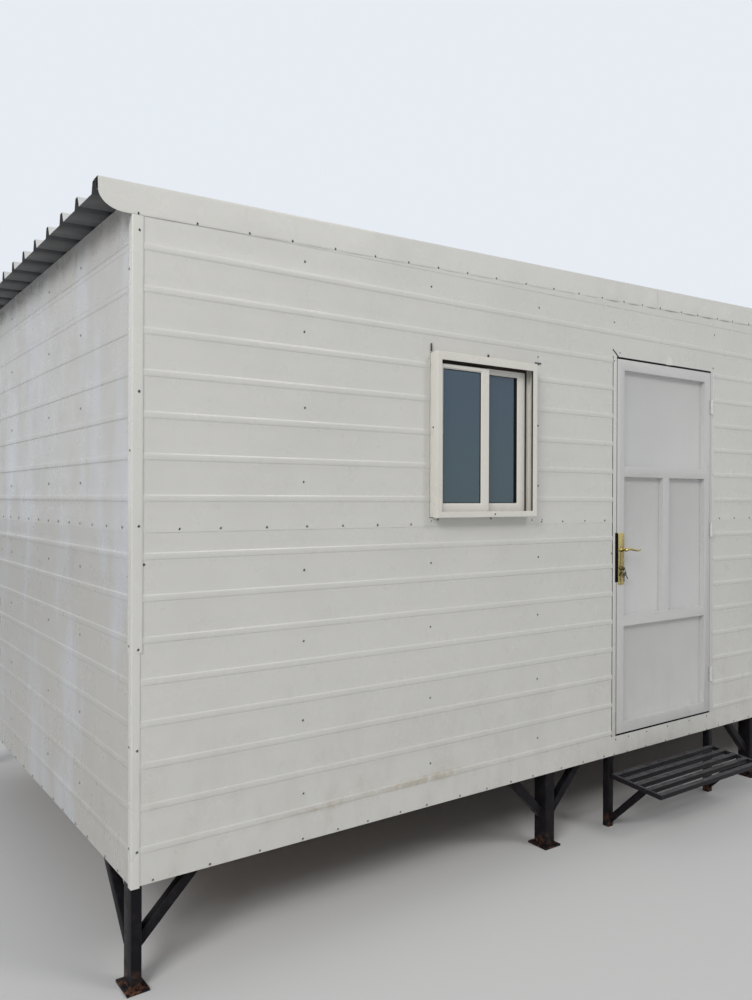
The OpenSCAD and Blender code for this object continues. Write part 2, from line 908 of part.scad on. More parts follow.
// Panels of the leaf: [x0, z0, x1, z1] of each clear field
field_x0 = leaf_x0 + stile_w;
field_x1 = leaf_x1 - stile_w;
field_low = leaf_z0 + stile_w;
field_high = leaf_z1 - stile_w;
low_rail_z = leaf_z0 + rail_low;
high_rail_z = leaf_z0 + rail_high;
fields = [
    [field_x0, field_low, field_x1, low_rail_z - stile_w / 2],
    [field_x0, low_rail_z + stile_w / 2, mid_x - stile_w / 2, high_rail_z - stile_w / 2],
    [mid_x + stile_w / 2, low_rail_z + stile_w / 2, field_x1, high_rail_z - stile_w / 2],
    [field_x0, high_rail_z + stile_w / 2, field_x1, field_high]
];

module door_leaf_frame() {
    color("#dcdbe0") placed()
        difference() {
            box([leaf_x0, leaf_y0, leaf_z0], [leaf_x1, leaf_y1, leaf_z1]);
            for (f = fields)
                box([f[0], leaf_y0 - cut, f[1]], [f[2], leaf_y1 + cut, f[3]]);
            translate([spindle_x, leaf_y0 - cut, spindle_z])
                rotate([-90, 0, 0])
                    cylinder(r = neck_r + leaf_play, h = leaf_t + 2 * cut);
        }
}

module door_panels() {
    color("#d4d4da") placed()
        for (f = fields)
            box([f[0], leaf_y0 + panel_back, f[1]], [f[2], leaf_y0 + panel_back + panel_t, f[3]]);
}

// A lock plate with rounded corners, its back on Y = 0 and its face at -lock_t
module lock_plate() {
    r = lock_w / 4;
    z0 = lock_up - lock_h;
    rotate([90, 0, 0])
        linear_extrude(lock_t)
            difference() {
                union() {
                    translate([-lock_w / 2, z0 + r])
                        square([lock_w, lock_h - 2 * r]);
                    translate([-r, z0])
                        square([2 * r, lock_h]);
                    for (z = [z0 + r, lock_up - r])
                        for (x = [-r, r])
                            translate([x, z])
                                circle(r = r);
                }
                circle(r = neck_r + neck_gap);
                translate([0, -cylinder_down])
                    circle(r = cylinder_r + seat_gap);
            }
}

module lock_plates() {
    color("#b8964a") placed() {
        translate([spindle_x, leaf_y0, spindle_z])
            lock_plate();
        translate([spindle_x, leaf_y1, spindle_z])
            mirror([0, 1, 0])
                lock_plate();
    }
}

module lock_cylinder() {
    color("#a9863f") placed()
        translate([spindle_x, leaf_y0 - lock_t - cylinder_out, spindle_z - cylinder_down])
            rotate([-90, 0, 0])
                cylinder(r = cylinder_r, h = lock_t + cylinder_out);
}

// A flat key with its bow's middle at the origin and its toothed blade down -Y
module key_outline() {
    tip = bow_r - key_l;
    difference() {
        union() {
            circle(r = bow_r);
            translate([-blade_w / 2, tip])
                square([blade_w, -tip]);
        }
        for (y = [tip + 2 * tooth : 2 * tooth : -bow_r - 3 * tooth])
            translate([blade_w / 2, y])
                circle(r = tooth, $fn = 4);
    }
}

// Key in the cylinder, with a ring through its bow and two keys that hang from the ring
module key_bunch() {
    front = leaf_y0 - lock_t - cylinder_out;
    ring_z = -bow_r / 2 - ring_r;
    color("#8c8c90") placed()
        translate([spindle_x, front - bow_r, spindle_z - cylinder_down])
            union() {
                translate([-key_t / 2, 0, 0])
                    rotate([90, 0, 90])
                        linear_extrude(key_t)
                            circle(r = bow_r);
                box([-key_t / 2, 0, -blade_w / 2], [key_t / 2, bow_r, blade_w / 2]);
                translate([0, ring_w / 2, ring_z])
                    rotate([90, 0, 0])
                        linear_extrude(ring_w)
                            difference() {
                                circle(r = ring_r);
                                circle(r = ring_r - ring_t);
                            }
                for (side = [-1, 1])
                    translate([0, side > 0 ? ring_w / 2 + key_t / 2 : key_t / 2 - ring_w / 2, ring_z])
                        rotate([0, side * key_lean, 0])
                            translate([0, 0, -ring_r - bow_r / 2])
                                rotate([90, 0, 0])
                                    linear_extrude(key_t)
                                        key_outline();
            }
}

// Lever arm along X from its neck, seen from the front: its centre line waves, its height tapers
module lever_arm() {
    steps = 24;
    function at(u) = wave_h * sin(360 * u) * u;
    function half(u) = (lever_h0 + (lever_h1 - lever_h0) * u) / 2;
    length = lever_l - lever_h1 / 2;
    top = [for (i = [0 : steps]) [length * i / steps, at(i / steps) + half(i / steps)]];
    low = [for (i = [steps : -1 : 0]) [length * i / steps, at(i / steps) - half(i / steps)]];
    rotate([90, 0, 0])
        translate([0, 0, -lever_t / 2])
            linear_extrude(lever_t)
                union() {
                    polygon(concat(top, low));
                    translate([length, at(1)])
                        circle(d = lever_h1);
                }
}

// One neck through the leaf turns with the arms outside and inside
module lever_handles() {
    reach = lock_t + lever_out;
    color("#b8964a") placed()
        translate([spindle_x, 0, spindle_z])
            union() {
                translate([0, leaf_y0 - reach, 0])
                    rotate([-90, 0, 0])
                        cylinder(r = neck_r, h = leaf_t + 2 * reach);
                for (y = [leaf_y0 - reach + neck_r, leaf_y1 + reach - neck_r])
                    translate([0, y, 0])
                        lever_arm();
            }
}

// Depths of the running rails: the first for a fly screen, then one for each sash
tracks = 3;
function track_y(i) = window_y0 + track_first + i * track_pitch;

// A ring in a window's plane from y0 to y1, between the insets a and b from the window's outline
module window_ring(x, y0, y1, a, b) {
    x1 = x + window_w;
    z1 = window_z0 + window_h;
    difference() {
        box([x + a, y0, window_z0 + a], [x1 - a, y1, z1 - a]);
        box([x + b, y0 - cut, window_z0 + b], [x1 - b, y1 + cut, z1 - b]);
    }
}

// Window frame: a channel round the hole that stands out from the wall, with lips and running rails
module window_frame(x) {
    color("#efe9dc") placed()
        union() {
            window_ring(x, window_y0, wall_t, 0, frame_web);
            window_ring(x, window_y0, window_y0 + lip_t, 0, frame_lip);
            window_ring(x, wall_t - lip_t, wall_t, 0, frame_lip);
            for (i = [0 : tracks - 1])
                window_ring(x, track_y(i), track_y(i) + track_t, 0, frame_web + track_h);
        }
}

module left_window_frame() {
    window_frame(window_xs[0]);
}

module right_window_frame() {
    window_frame(window_xs[1]);
}

// A sash hangs over its running rail: its groove's roof rests on the rail
sash_l = (window_w - 2 * frame_web - 2 * sash_play + sash_lap) / 2;
sash_z0 = window_z0 + frame_web + track_h - groove;
sash_z1 = window_z0 + window_h - frame_web - sash_lift;
function sash_y(i) = track_y(i) + (track_t - sash_t) / 2;

// Left ends of the outer and inner sash of the window at x
function outer_x(x) = x + frame_web + sash_play;
function inner_x(x) = x + window_w - frame_web - sash_play - sash_open - sash_l;

// Sash at x on running rail i: a glazed frame with a step round the glass and a groove in its outer edge
module sash(x, i) {
    y = sash_y(i);
    x1 = x + sash_l;
    ga = track_y(i) - sash_play;
    gb = track_y(i) + track_t + sash_play;
    deep = track_h + sash_play;
    difference() {
        box([x, y, sash_z0], [x1, y + sash_t, sash_z1]);
        box([x + sash_w, y - cut, sash_z0 + sash_rail_h],
            [x1 - sash_w, y + sash_t + cut, sash_z1 - sash_rail_h]);
        box([x + sash_w - bead, y - cut, sash_z0 + sash_rail_h - bead],
            [x1 - sash_w + bead, y + bead, sash_z1 - sash_rail_h + bead]);
        box([x - cut, ga, sash_z0 - cut], [x1 + cut, gb, sash_z0 + groove]);
        box([x - cut, ga, sash_z1 - deep], [x1 + cut, gb, sash_z1 + cut]);
        box([x - cut, ga, sash_z0 - cut], [x + deep, gb, sash_z1 + cut]);
        box([x1 - deep, ga, sash_z0 - cut], [x1 + cut, gb, sash_z1 + cut]);
    }
}

module window_sashes(x) {
    color("#efe9dc") placed() {
        sash(outer_x(x), 1);
        sash(inner_x(x), 2);
    }
}

module left_window_sashes() {
    window_sashes(window_xs[0]);
}

module right_window_sashes() {
    window_sashes(window_xs[1]);
}

// Glass of the sash at x on running rail i, held in the middle of its thickness
module pane(x, i) {
    y = sash_y(i) + (sash_t - glass_t) / 2;
    box([x + sash_w, y, sash_z0 + sash_rail_h], [x + sash_l - sash_w, y + glass_t, sash_z1 - sash_rail_h]);
}

module window_glass() {
    color("#46606e") placed()
        for (x = window_xs) {
            pane(outer_x(x), 1);
            pane(inner_x(x), 2);
        }
}

chassis_rails();
floor_joists();
front_legs();
rear_legs();
knee_braces();
step_posts();
door_step();
floor_board();
front_wall_left();
front_wall_right();
front_wall_over_door();
rear_wall();
left_end_wall();
right_end_wall();
front_sheets_left();
front_sheets_right();
sheet_over_door();
threshold_strip();
rear_sheets();
left_end_sheets();
right_end_sheets();
corner_trims();
infill_strips();
front_fascia();
rear_fascia();
roof_sheet();
roof_purlins();
ceiling_board();
door_jamb_left();
door_jamb_right();
door_head();
jamb_trims();
frame_hinge_halves();
door_leaf_frame();
door_panels();
leaf_hinge_halves();
lock_plates();
lock_cylinder();
key_bunch();
lever_handles();
left_window_frame();
right_window_frame();
left_window_sashes();
right_window_sashes();
window_glass();
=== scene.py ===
"""Looks of a portable site cabin: sheet-clad walls on steel legs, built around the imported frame."""
import math
import random

import bmesh
import bpy
from mathutils import Matrix, Vector, noise


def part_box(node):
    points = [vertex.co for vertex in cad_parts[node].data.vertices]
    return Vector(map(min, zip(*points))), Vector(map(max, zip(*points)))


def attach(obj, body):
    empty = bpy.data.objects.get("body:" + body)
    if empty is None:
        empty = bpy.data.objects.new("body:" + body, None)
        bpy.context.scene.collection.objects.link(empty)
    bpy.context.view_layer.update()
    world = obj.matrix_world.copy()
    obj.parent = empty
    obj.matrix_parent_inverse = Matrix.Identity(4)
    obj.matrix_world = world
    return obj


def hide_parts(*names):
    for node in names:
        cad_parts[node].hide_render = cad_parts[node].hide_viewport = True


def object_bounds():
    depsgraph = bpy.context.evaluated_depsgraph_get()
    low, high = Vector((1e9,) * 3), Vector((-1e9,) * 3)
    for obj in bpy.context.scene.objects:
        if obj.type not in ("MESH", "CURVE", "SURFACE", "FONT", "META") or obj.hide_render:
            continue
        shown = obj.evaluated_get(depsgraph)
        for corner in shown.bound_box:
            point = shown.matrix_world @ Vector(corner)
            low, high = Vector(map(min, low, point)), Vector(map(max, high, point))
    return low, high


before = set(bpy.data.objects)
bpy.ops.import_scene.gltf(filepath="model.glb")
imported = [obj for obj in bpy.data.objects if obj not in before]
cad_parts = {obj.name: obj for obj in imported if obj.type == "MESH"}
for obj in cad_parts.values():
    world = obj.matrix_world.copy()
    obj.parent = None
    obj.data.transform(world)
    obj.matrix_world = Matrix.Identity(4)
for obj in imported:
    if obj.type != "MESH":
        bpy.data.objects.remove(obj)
cad_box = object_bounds()
scene = bpy.context.scene

# The wall planes and levels, from the frame
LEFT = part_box("front_sheets_left")[0].x
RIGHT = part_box("front_sheets_right")[1].x
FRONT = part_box("threshold_strip")[0].y
REAR = FRONT + 3.000
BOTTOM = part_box("threshold_strip")[0].z
LENGTH = RIGHT - LEFT
DEPTH = REAR - FRONT
CENTRE = Vector(((LEFT + RIGHT) / 2, (FRONT + REAR) / 2, 1.4))

# Roof and wall heights above the sheets' bottom edge
EAVES = 2.457
ROOF_ANGLE = math.radians(1.4)
ROOF_RISE = math.tan(ROOF_ANGLE)
INFILL_LOW = EAVES - 0.062
INFILL_RISE = math.tan(math.radians(0.57))
DOOR_MIDDLE = LENGTH / 2
DOORWAY = (DOOR_MIDDLE - 0.473, DOOR_MIDDLE + 0.471)
HEAD_TOP = 2.195

# Bands pressed into the wall sheets: half a band's cross section, as (off its middle, out)
BAND_PITCH = 0.150
LOW_BANDS = tuple(0.125 + BAND_PITCH * i for i in range(8))
HIGH_BANDS = tuple(1.384 + BAND_PITCH * i for i in range(7))
BAND_SIDE = ((0.0156, 0.0000), (0.0140, 0.0002), (0.0118, 0.0010), (0.0100, 0.0020), (0.0080, 0.0024))
# The upper sheets lap over the lower ones, and sheet edges turn back by SHEET_FOLD
LAP_Z, LAP_W, LAP_OUT = 1.260, 0.02, 0.0012
LAP_RIVETS_Z = 1.272
SHEET_FOLD = Vector((0.0, 0.0014, 0.0))

WINDOW_W = 0.634
WINDOW_LOW, WINDOW_HIGH = 1.300, 2.045
WINDOW_LEFTS = (1.358, LENGTH - 1.358 - WINDOW_W)


class Wall:
    """An outside wall, seen from outside: x along it from its left corner, -y out of it,
    z up from the sheets' bottom edge."""

    def __init__(self, corner, quarter_turns, length, top, rise):
        turn = Matrix.Rotation(quarter_turns * math.pi / 2, 4, "Z")
        self.place = Matrix.Translation((*corner, BOTTOM)) @ turn
        self.length = length
        self.top = top
        self.rise = rise

    def top_at(self, x):
        return self.top + self.rise * x


FRONT_WALL = Wall((LEFT, FRONT), 0, LENGTH, EAVES, ROOF_RISE)
REAR_WALL = Wall((RIGHT, REAR), 2, LENGTH, EAVES + LENGTH * ROOF_RISE, -ROOF_RISE)
LEFT_END = Wall((LEFT, REAR), -1, DEPTH, EAVES, 0.0)
RIGHT_END = Wall((RIGHT, FRONT), 1, DEPTH, EAVES + LENGTH * ROOF_RISE, 0.0)


def wall_point(along, out, up):
    """A point of the front wall: along it from its left corner, out from its face, up from its bottom."""
    return FRONT_WALL.place @ Vector((along, -out, up))


class Finish:
    """A procedural material under construction: its nodes and its Principled shader."""

    def __init__(self, name, colour, roughness, metallic=0.0, specular=None):
        self.material = bpy.data.materials.new(name)
        self.material.use_nodes = True
        self.tree = self.material.node_tree
        self.shader = self.tree.nodes["Principled BSDF"]
        self.set("Base Color", (*colour, 1.0))
        self.set("Roughness", roughness)
        self.set("Metallic", metallic)
        if specular is not None:
            self.set("Specular IOR Level", specular)
        self.plain_colour = colour
        self.place = self.node("ShaderNodeTexCoord").outputs["Object"]

    def set(self, socket, value):
        self.shader.inputs[socket].default_value = value

    def node(self, kind, **settings):
        made = self.tree.nodes.new(kind)
        for name, value in settings.items():
            setattr(made, name, value)
        return made

    def wire(self, source, target):
        self.tree.links.new(source, target)

    def fill(self, target, value):
        """Puts a number, a colour or another node's output into a socket."""
        if hasattr(value, "is_linked"):
            self.wire(value, target)
        else:
            target.default_value = value

    def mapped(self, scale, location=(0.0, 0.0, 0.0)):
        """Object coordinates, scaled by a different factor along each axis and then moved."""
        mapping = self.node("ShaderNodeMapping")
        self.wire(self.place, mapping.inputs["Vector"])
        mapping.inputs["Location"].default_value = location
        mapping.inputs["Scale"].default_value = scale
        return mapping.outputs["Vector"]

    def noise(self, scale, detail=4.0, rough=0.55, stretch=None):
        made = self.node("ShaderNodeTexNoise")
        self.wire(self.mapped(stretch) if stretch else self.place, made.inputs["Vector"])
        made.inputs["Scale"].default_value = scale
        made.inputs["Detail"].default_value = detail
        made.inputs["Roughness"].default_value = rough
        return made.outputs["Fac"]

    def spread(self, value, low, high, to_low=0.0, to_high=1.0):
        """Maps a value from low..high to to_low..to_high, with soft ends."""
        made = self.node("ShaderNodeMapRange", interpolation_type="SMOOTHSTEP")
        for index, given in enumerate((value, low, high, to_low, to_high)):
            self.fill(made.inputs[index], given)
        return made.outputs["Result"]

    def times(self, first, second):
        made = self.node("ShaderNodeMath", operation="MULTIPLY")
        self.fill(made.inputs[0], first)
        self.fill(made.inputs[1], second)
        return made.outputs["Value"]

    def mix(self, share, first, second):
        made = self.node("ShaderNodeMix", data_type="RGBA")
        self.fill(made.inputs[0], share)
        for socket, colour in ((6, first), (7, second)):
            self.fill(made.inputs[socket], colour if hasattr(colour, "is_linked") else (*colour, 1.0))
        return made.outputs[2]

    def up_part(self, vector):
        """The Z of a vector: the height, of Object coordinates."""
        split = self.node("ShaderNodeSeparateXYZ")
        self.wire(vector, split.inputs["Vector"])
        return split.outputs["Z"]

    def colour_so_far(self):
        socket = self.shader.inputs["Base Color"]
        return socket.links[0].from_socket if socket.is_linked else self.plain_colour

    def colour(self, output):
        self.wire(output, self.shader.inputs["Base Color"])

    def roughness(self, output):
        self.wire(output, self.shader.inputs["Roughness"])

    def bump(self, height, distance, strength):
        made = self.node("ShaderNodeBump")
        made.inputs["Distance"].default_value = distance
        made.inputs["Strength"].default_value = strength
        self.wire(height, made.inputs["Height"])
        self.wire(made.outputs["Normal"], self.shader.inputs["Normal"])


DRY_DUST = (0.40, 0.35, 0.28)
SPLASHED_CLAY = (0.36, 0.29, 0.17)


def painted_sheet(name, colour, roughness=0.3, dust_height=0.75, skin=0.5):
    """Factory-painted sheet: fine skin, faint mottling, dust that gathers low down."""
    paint = Finish(name, colour, roughness)
    mottle = paint.spread(paint.noise(2.2, 5.0), 0.35, 0.75)
    darker = tuple(channel * 0.95 for channel in colour)
    base = paint.mix(mottle, colour, darker)
    dusty = paint.noise(9.0, 8.0, 0.65, stretch=(1.0, 1.0, 0.5))
    low = paint.spread(paint.up_part(paint.place), BOTTOM + dust_height, BOTTOM, 0.0, 0.30)
    dust = paint.times(paint.spread(dusty, 0.42, 0.8), low)
    paint.colour(paint.mix(dust, base, DRY_DUST))
    paint.roughness(paint.spread(paint.noise(6.0, 6.0), 0.3, 0.8, roughness - 0.06, roughness + 0.12))
    paint.bump(paint.noise(900.0, 2.0), 0.00004, skin)
    return paint


def stained(paint, middle, reach, colour, amount):
    """Adds a soft stain to a paint, such as splashed clay: strongest at its middle, gone at its reach."""
    length = paint.node("ShaderNodeVectorMath", operation="LENGTH")
    off_middle = paint.mapped(tuple(1.0 / r for r in reach), tuple(-m / r for m, r in zip(middle, reach)))
    paint.wire(off_middle, length.inputs[0])
    near = paint.spread(length.outputs["Value"], 1.0, 0.2, 0.0, amount)
    share = paint.times(near, paint.spread(paint.noise(30.0, 8.0, 0.7), 0.35, 0.62))
    paint.colour(paint.mix(share, paint.colour_so_far(), colour))


def with_back_coat_and_painted_shade(paint, colour):
    """Faces that carry the attribute 'back coat and painted shade' take the second colour: on sheets a grey
    back coat darkened as painted shade, on brass and rivets painted shade.
    """
    side = paint.node("ShaderNodeAttribute", attribute_type="GEOMETRY", attribute_name="back_coat_and_painted_shade")
    paint.colour(paint.mix(side.outputs["Fac"], paint.colour_so_far(), colour))
    return paint.material


def painted_streak_reflections(paint, colour):
    """Soft upright streaks of a second, bluer colour: painted reflections on a glossy sheet."""
    # The streaks are painted reflections
    streak = paint.spread(paint.noise(1.6, 4.0, 0.6, stretch=(1.8, 1.8, 0.55)), 0.48, 0.68, 0.0, 0.8)
    paint.colour(paint.mix(streak, paint.colour_so_far(), colour))
    return paint.material


def black_paint(name):
    """Brushed black paint on steel, dusty above and rusty where it meets the ground."""
    paint = Finish(name, (0.014, 0.013, 0.016), 0.45, specular=0.10)
    dust = paint.spread(paint.noise(26.0, 8.0, 0.7), 0.45, 0.8, 0.0, 0.5)
    dusted = paint.mix(dust, (0.009, 0.008, 0.010), (0.042, 0.038, 0.037))
    patch = paint.spread(paint.noise(34.0, 8.0, 0.7), 0.48, 0.66)
    near_ground = paint.spread(paint.up_part(paint.place), 0.09, 0.0)
    paint.colour(paint.mix(paint.times(patch, near_ground), dusted, (0.15, 0.065, 0.035)))
    paint.roughness(paint.spread(dust, 0.0, 0.5, 0.36, 0.75))
    paint.bump(paint.noise(70.0, 5.0, 0.6, stretch=(1.0, 1.0, 0.25)), 0.0006, 0.35)
    return paint.material


def black_paint_lighter_on_top(name):
    """Black paint whose upward faces turn lighter grey in patches."""
    paint = Finish(name, (0.03, 0.03, 0.033), 0.5, specular=0.12)
    upward = paint.spread(paint.up_part(paint.node("ShaderNodeNewGeometry").outputs["Normal"]), 0.55, 0.95)
    worn = paint.spread(paint.noise(18.0, 8.0, 0.7), 0.30, 0.62, 0.35, 1.0)
    paint.colour(paint.mix(paint.times(upward, worn), (0.016, 0.016, 0.018), (0.095, 0.092, 0.096)))
    paint.roughness(paint.spread(upward, 0.0, 1.0, 0.45, 0.8))
    paint.bump(paint.noise(90.0, 5.0), 0.0006, 0.4)
    return paint.material


def glass_pane(name):
    """Blue-grey solar glass that mirrors a little; its nearly opaque dark colour paints the dark room behind
    as shade, and its shift in colour from bottom to top is a painted reflection.
    """
    glass = Finish(name, (0.040, 0.080, 0.115), 0.04, specular=0.75)
    glass.set("Alpha", 0.86)
    glass.set("IOR", 1.5)
    # Colour shifts with height: a painted reflection
    painted_reflection_gradient = glass.spread(glass.up_part(glass.place), BOTTOM + WINDOW_LOW, BOTTOM + WINDOW_HIGH)
    glass.colour(glass.mix(painted_reflection_gradient, (0.050, 0.095, 0.115), (0.042, 0.085, 0.130)))
    glass.bump(glass.noise(3.0, 2.0), 0.0008, 0.15)
    return glass.material


def plain_metal(name, colour, roughness):
    metal = Finish(name, colour, roughness, 1.0)
    metal.roughness(metal.spread(metal.noise(60.0, 5.0), 0.3, 0.8, roughness - 0.05, roughness + 0.15))
    return metal


def rubber(name):
    seal = Finish(name, (0.006, 0.006, 0.007), 0.7, specular=0.10)
    seal.bump(seal.noise(300.0, 3.0), 0.0002, 0.4)
    return seal.material


def brush_pile_and_painted_shade(name):
    """Dusty brown pile of the strips that keep draughts out of a sliding window, dark enough to paint the
    shade where it sits.
    """
    pile = Finish(name, (0.050, 0.042, 0.035), 0.95, specular=0.05)
    dust = pile.spread(pile.noise(120.0, 6.0, 0.7), 0.4, 0.7)
    pile.colour(pile.mix(dust, (0.036, 0.030, 0.025), (0.075, 0.062, 0.050)))
    return pile.material


def floor_wood(name):
    wood = Finish(name, (0.30, 0.22, 0.15), 0.6)
    grain = wood.noise(14.0, 6.0, 0.6, stretch=(0.3, 4.0, 4.0))
    wood.colour(wood.mix(wood.spread(grain, 0.35, 0.7), (0.33, 0.24, 0.16), (0.24, 0.17, 0.11)))
    wood.bump(grain, 0.0006, 0.3)
    return wood.material


front_paint = painted_sheet("front_sheet_paint", (0.66, 0.655, 0.62))
for stain_middle, stain_reach in ((wall_point(0.80, 0.0, 0.119), (0.26, 0.3, 0.026)),
                                  (wall_point(1.33, 0.0, 0.126), (0.48, 0.3, 0.028))):
    stained(front_paint, stain_middle, stain_reach, SPLASHED_CLAY, 0.50)
SHEET = front_paint.material
# The end walls' paint is the front's white darkened as painted shade, with painted streak reflections
END_SHEET_PAINTED_SHADE_AND_REFLECTIONS = painted_streak_reflections(painted_sheet("end_sheet_painted_shade_and_reflections", (0.55, 0.54, 0.51)), (0.60, 0.62, 0.65))
# TRIM's second colour is the back coat inside the fascias, darkened as painted shade
TRIM = with_back_coat_and_painted_shade(painted_sheet("trim_paint", (0.70, 0.695, 0.655), 0.26), (0.075, 0.077, 0.082))
DOOR = painted_sheet("door_paint", (0.60, 0.60, 0.59), 0.34, skin=0.9).material
# ROOF's second colour is the back coat, darkened as painted shade under the roof
ROOF = with_back_coat_and_painted_shade(painted_sheet("roof_paint", (0.66, 0.665, 0.66), 0.35), (0.062, 0.064, 0.070))
LINING = painted_sheet("lining_paint", (0.70, 0.70, 0.68), 0.5).material
FRAME_CREAM = painted_sheet("window_coating", (0.74, 0.72, 0.66), dust_height=0.0).material
HINGE_PAINT = painted_sheet("hinge_paint", (0.74, 0.74, 0.74), 0.28).material
BLACK = black_paint("black_chassis_paint")
STEP_BLACK = black_paint_lighter_on_top("step_paint")
GLASS = glass_pane("window_glass_painted_shade_and_reflection")
RUBBER = rubber("black_rubber")
# BRASS's dark second colour is painted shade, under the levers and in the lines on the lock plates
BRASS = with_back_coat_and_painted_shade(plain_metal("polished_brass", (0.57, 0.46, 0.20), 0.24), (0.10, 0.075, 0.03))
BRUSH_AND_PAINTED_SHADE = brush_pile_and_painted_shade("brush_pile_and_painted_shade")
DULL_STEEL = plain_metal("dull_steel", (0.12, 0.11, 0.10), 0.40).material
STEEL = plain_metal("plain_steel", (0.55, 0.55, 0.55), 0.32).material
# RIVET: aluminium darkened to a dull grey as painted shade, with painted black shade in the holes
RIVET = with_back_coat_and_painted_shade(plain_metal("rivet_aluminium_painted_shade", (0.30, 0.30, 0.30), 0.38), (0.01, 0.01, 0.01))
WOOD = floor_wood("floor_plywood")

# The nodes that stay as packed, by finish
NODE_FINISHES = {
    BLACK: ("chassis_rails", "floor_joists", "roof_purlins"),
    WOOD: ("floor_board",),
    LINING: ("front_wall_left", "front_wall_right", "front_wall_over_door", "rear_wall", "left_end_wall",
             "right_end_wall", "ceiling_board"),
    SHEET: ("threshold_strip",),
    DOOR: ("door_jamb_left", "door_jamb_right", "door_head"),
    HINGE_PAINT: ("frame_hinge_halves", "leaf_hinge_halves"),
    GLASS: ("window_glass",),
}
for finish, names in NODE_FINISHES.items():
    for name in names:
        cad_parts[name].data.materials.clear()
        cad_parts[name].data.materials.append(finish)


OUTWARD = Vector((0.0, -1.0, 0.0))
ALONG_X, INWARD, UPWARD = Vector((1.0, 0.0, 0.0)), Vector((0.0, 1.0, 0.0)), Vector((0.0, 0.0, 1.0))
UPRIGHT = Matrix.Rotation(math.pi / 2, 4, "X")
FRAME_PLACE = Matrix()


def face_towards(shape, direction):
    """Turns a sheet's faces round if most of them look away from a direction."""
    if sum(face.normal.dot(direction) * face.calc_area() for face in shape.faces) < 0.0:
        bmesh.ops.reverse_faces(shape, faces=shape.faces)


def piece(name, shape, finish, body="cabin", instead_of=(), crease=32.0, place=FRONT_WALL.place,
          sheet=False):
    """Makes a named piece of a shape that was drawn in the measures of a place: it rides on its body and
    stands for some nodes. Faces that meet at more than the crease angle keep a crisp edge. A sheet's faces
    look out."""
    bmesh.ops.transform(shape, matrix=place, verts=shape.verts)
    if sheet:
        shape.normal_update()
    bmesh.ops.remove_doubles(shape, verts=shape.verts, dist=0.00002)
    if sheet:
        face_towards(shape, place.to_3x3() @ OUTWARD)
    else:
        bmesh.ops.recalc_face_normals(shape, faces=shape.faces)
    for edge in shape.edges:
        edge.smooth = len(edge.link_faces) == 2 and edge.calc_face_angle(math.pi) < math.radians(crease)
    for face in shape.faces:
        face.smooth = True
    made = bpy.data.objects.new(name, mesh_of(shape, name))
    made.data.materials.append(finish)
    scene.collection.objects.link(made)
    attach(made, body)
    if instead_of:
        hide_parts(*instead_of)


def mesh_of(shape, name):
    """Turns a shape into a mesh and frees it."""
    mesh = bpy.data.meshes.new(name)
    shape.to_mesh(mesh)
    shape.free()
    return mesh


def merge(shape, part, place=None):
    """Adds a part, moved to its place, to a shape and frees it."""
    if place is not None:
        bmesh.ops.transform(part, matrix=place, verts=part.verts)
    mesh = mesh_of(part, "part")
    shape.from_mesh(mesh)
    bpy.data.meshes.remove(mesh)


def mirrored(x=None, y=None):
    """Mirrors along X or Y, so that 0 comes to lie where x or y says."""
    signs = (1.0 if x is None else -1.0, 1.0 if y is None else -1.0, 1.0, 1.0)
    return Matrix.Translation((x or 0.0, y or 0.0, 0.0)) @ Matrix.Diagonal(signs)


def new_verts(made):
    """The vertices among all that an operator made."""
    return [part for part in made["geom"] if isinstance(part, bmesh.types.BMVert)]


def mark_back_coat_and_painted_shade(shape, is_other):
    """Marks the faces that take a finish's second colour: back coat and painted shade."""
    shape.normal_update()
    side = shape.faces.layers.float.new("back_coat_and_painted_shade")
    for face in shape.faces:
        face[side] = 1.0 if is_other(face) else 0.0


def swept(shape, points, reach, count):
    """Draws a line through points and sweeps it over a reach, in count steps."""
    verts = [shape.verts.new(point) for point in points]
    edges = [shape.edges.new(pair) for pair in zip(verts, verts[1:])]
    bmesh.ops.spin(shape, geom=verts + edges, cent=(0.0, 0.0, 0.0), axis=(0.0, 0.0, 1.0),
                   dvec=[part / count for part in reach], angle=0.0, steps=count, use_duplicate=False)


def cut_along(shape, point, normal, drop_outer=False):
    """Cuts all faces along a plane."""
    bmesh.ops.bisect_plane(shape, geom=shape.verts[:] + shape.edges[:] + shape.faces[:], dist=0.00001,
                           plane_co=point, plane_no=normal, clear_outer=drop_outer)


def faces_within(shape, x0, x1, z0, z1):
    """Faces whose middles lie in a field, seen from the front."""
    return [face for face in shape.faces
            if x0 < face.calc_center_median().x < x1 and z0 < face.calc_center_median().z < z1]


def cut_hole(shape, x0, x1, z0, z1):
    """Cuts a window's hole through a sheet that lies along X and Z."""
    for x in (x0, x1):
        cut_along(shape, (x, 0.0, 0.0), ALONG_X)
    for z in (z0, z1):
        cut_along(shape, (0.0, 0.0, z), UPWARD)
    bmesh.ops.delete(shape, geom=faces_within(shape, x0, x1, z0, z1), context="FACES")


def fold_rim(shape, back):
    """Gives a thin sheet the look of thickness: its free edges turn back by the vector back."""
    made = bmesh.ops.extrude_edge_only(shape, edges=[edge for edge in shape.edges if edge.is_boundary])
    bmesh.ops.translate(shape, vec=back, verts=new_verts(made))


def soften(shape, edges, radius, segments=2, clamp=False):
    bmesh.ops.bevel(shape, geom=list(edges), offset=radius, segments=segments, profile=0.5, affect="EDGES",
                    clamp_overlap=clamp, material=-1)


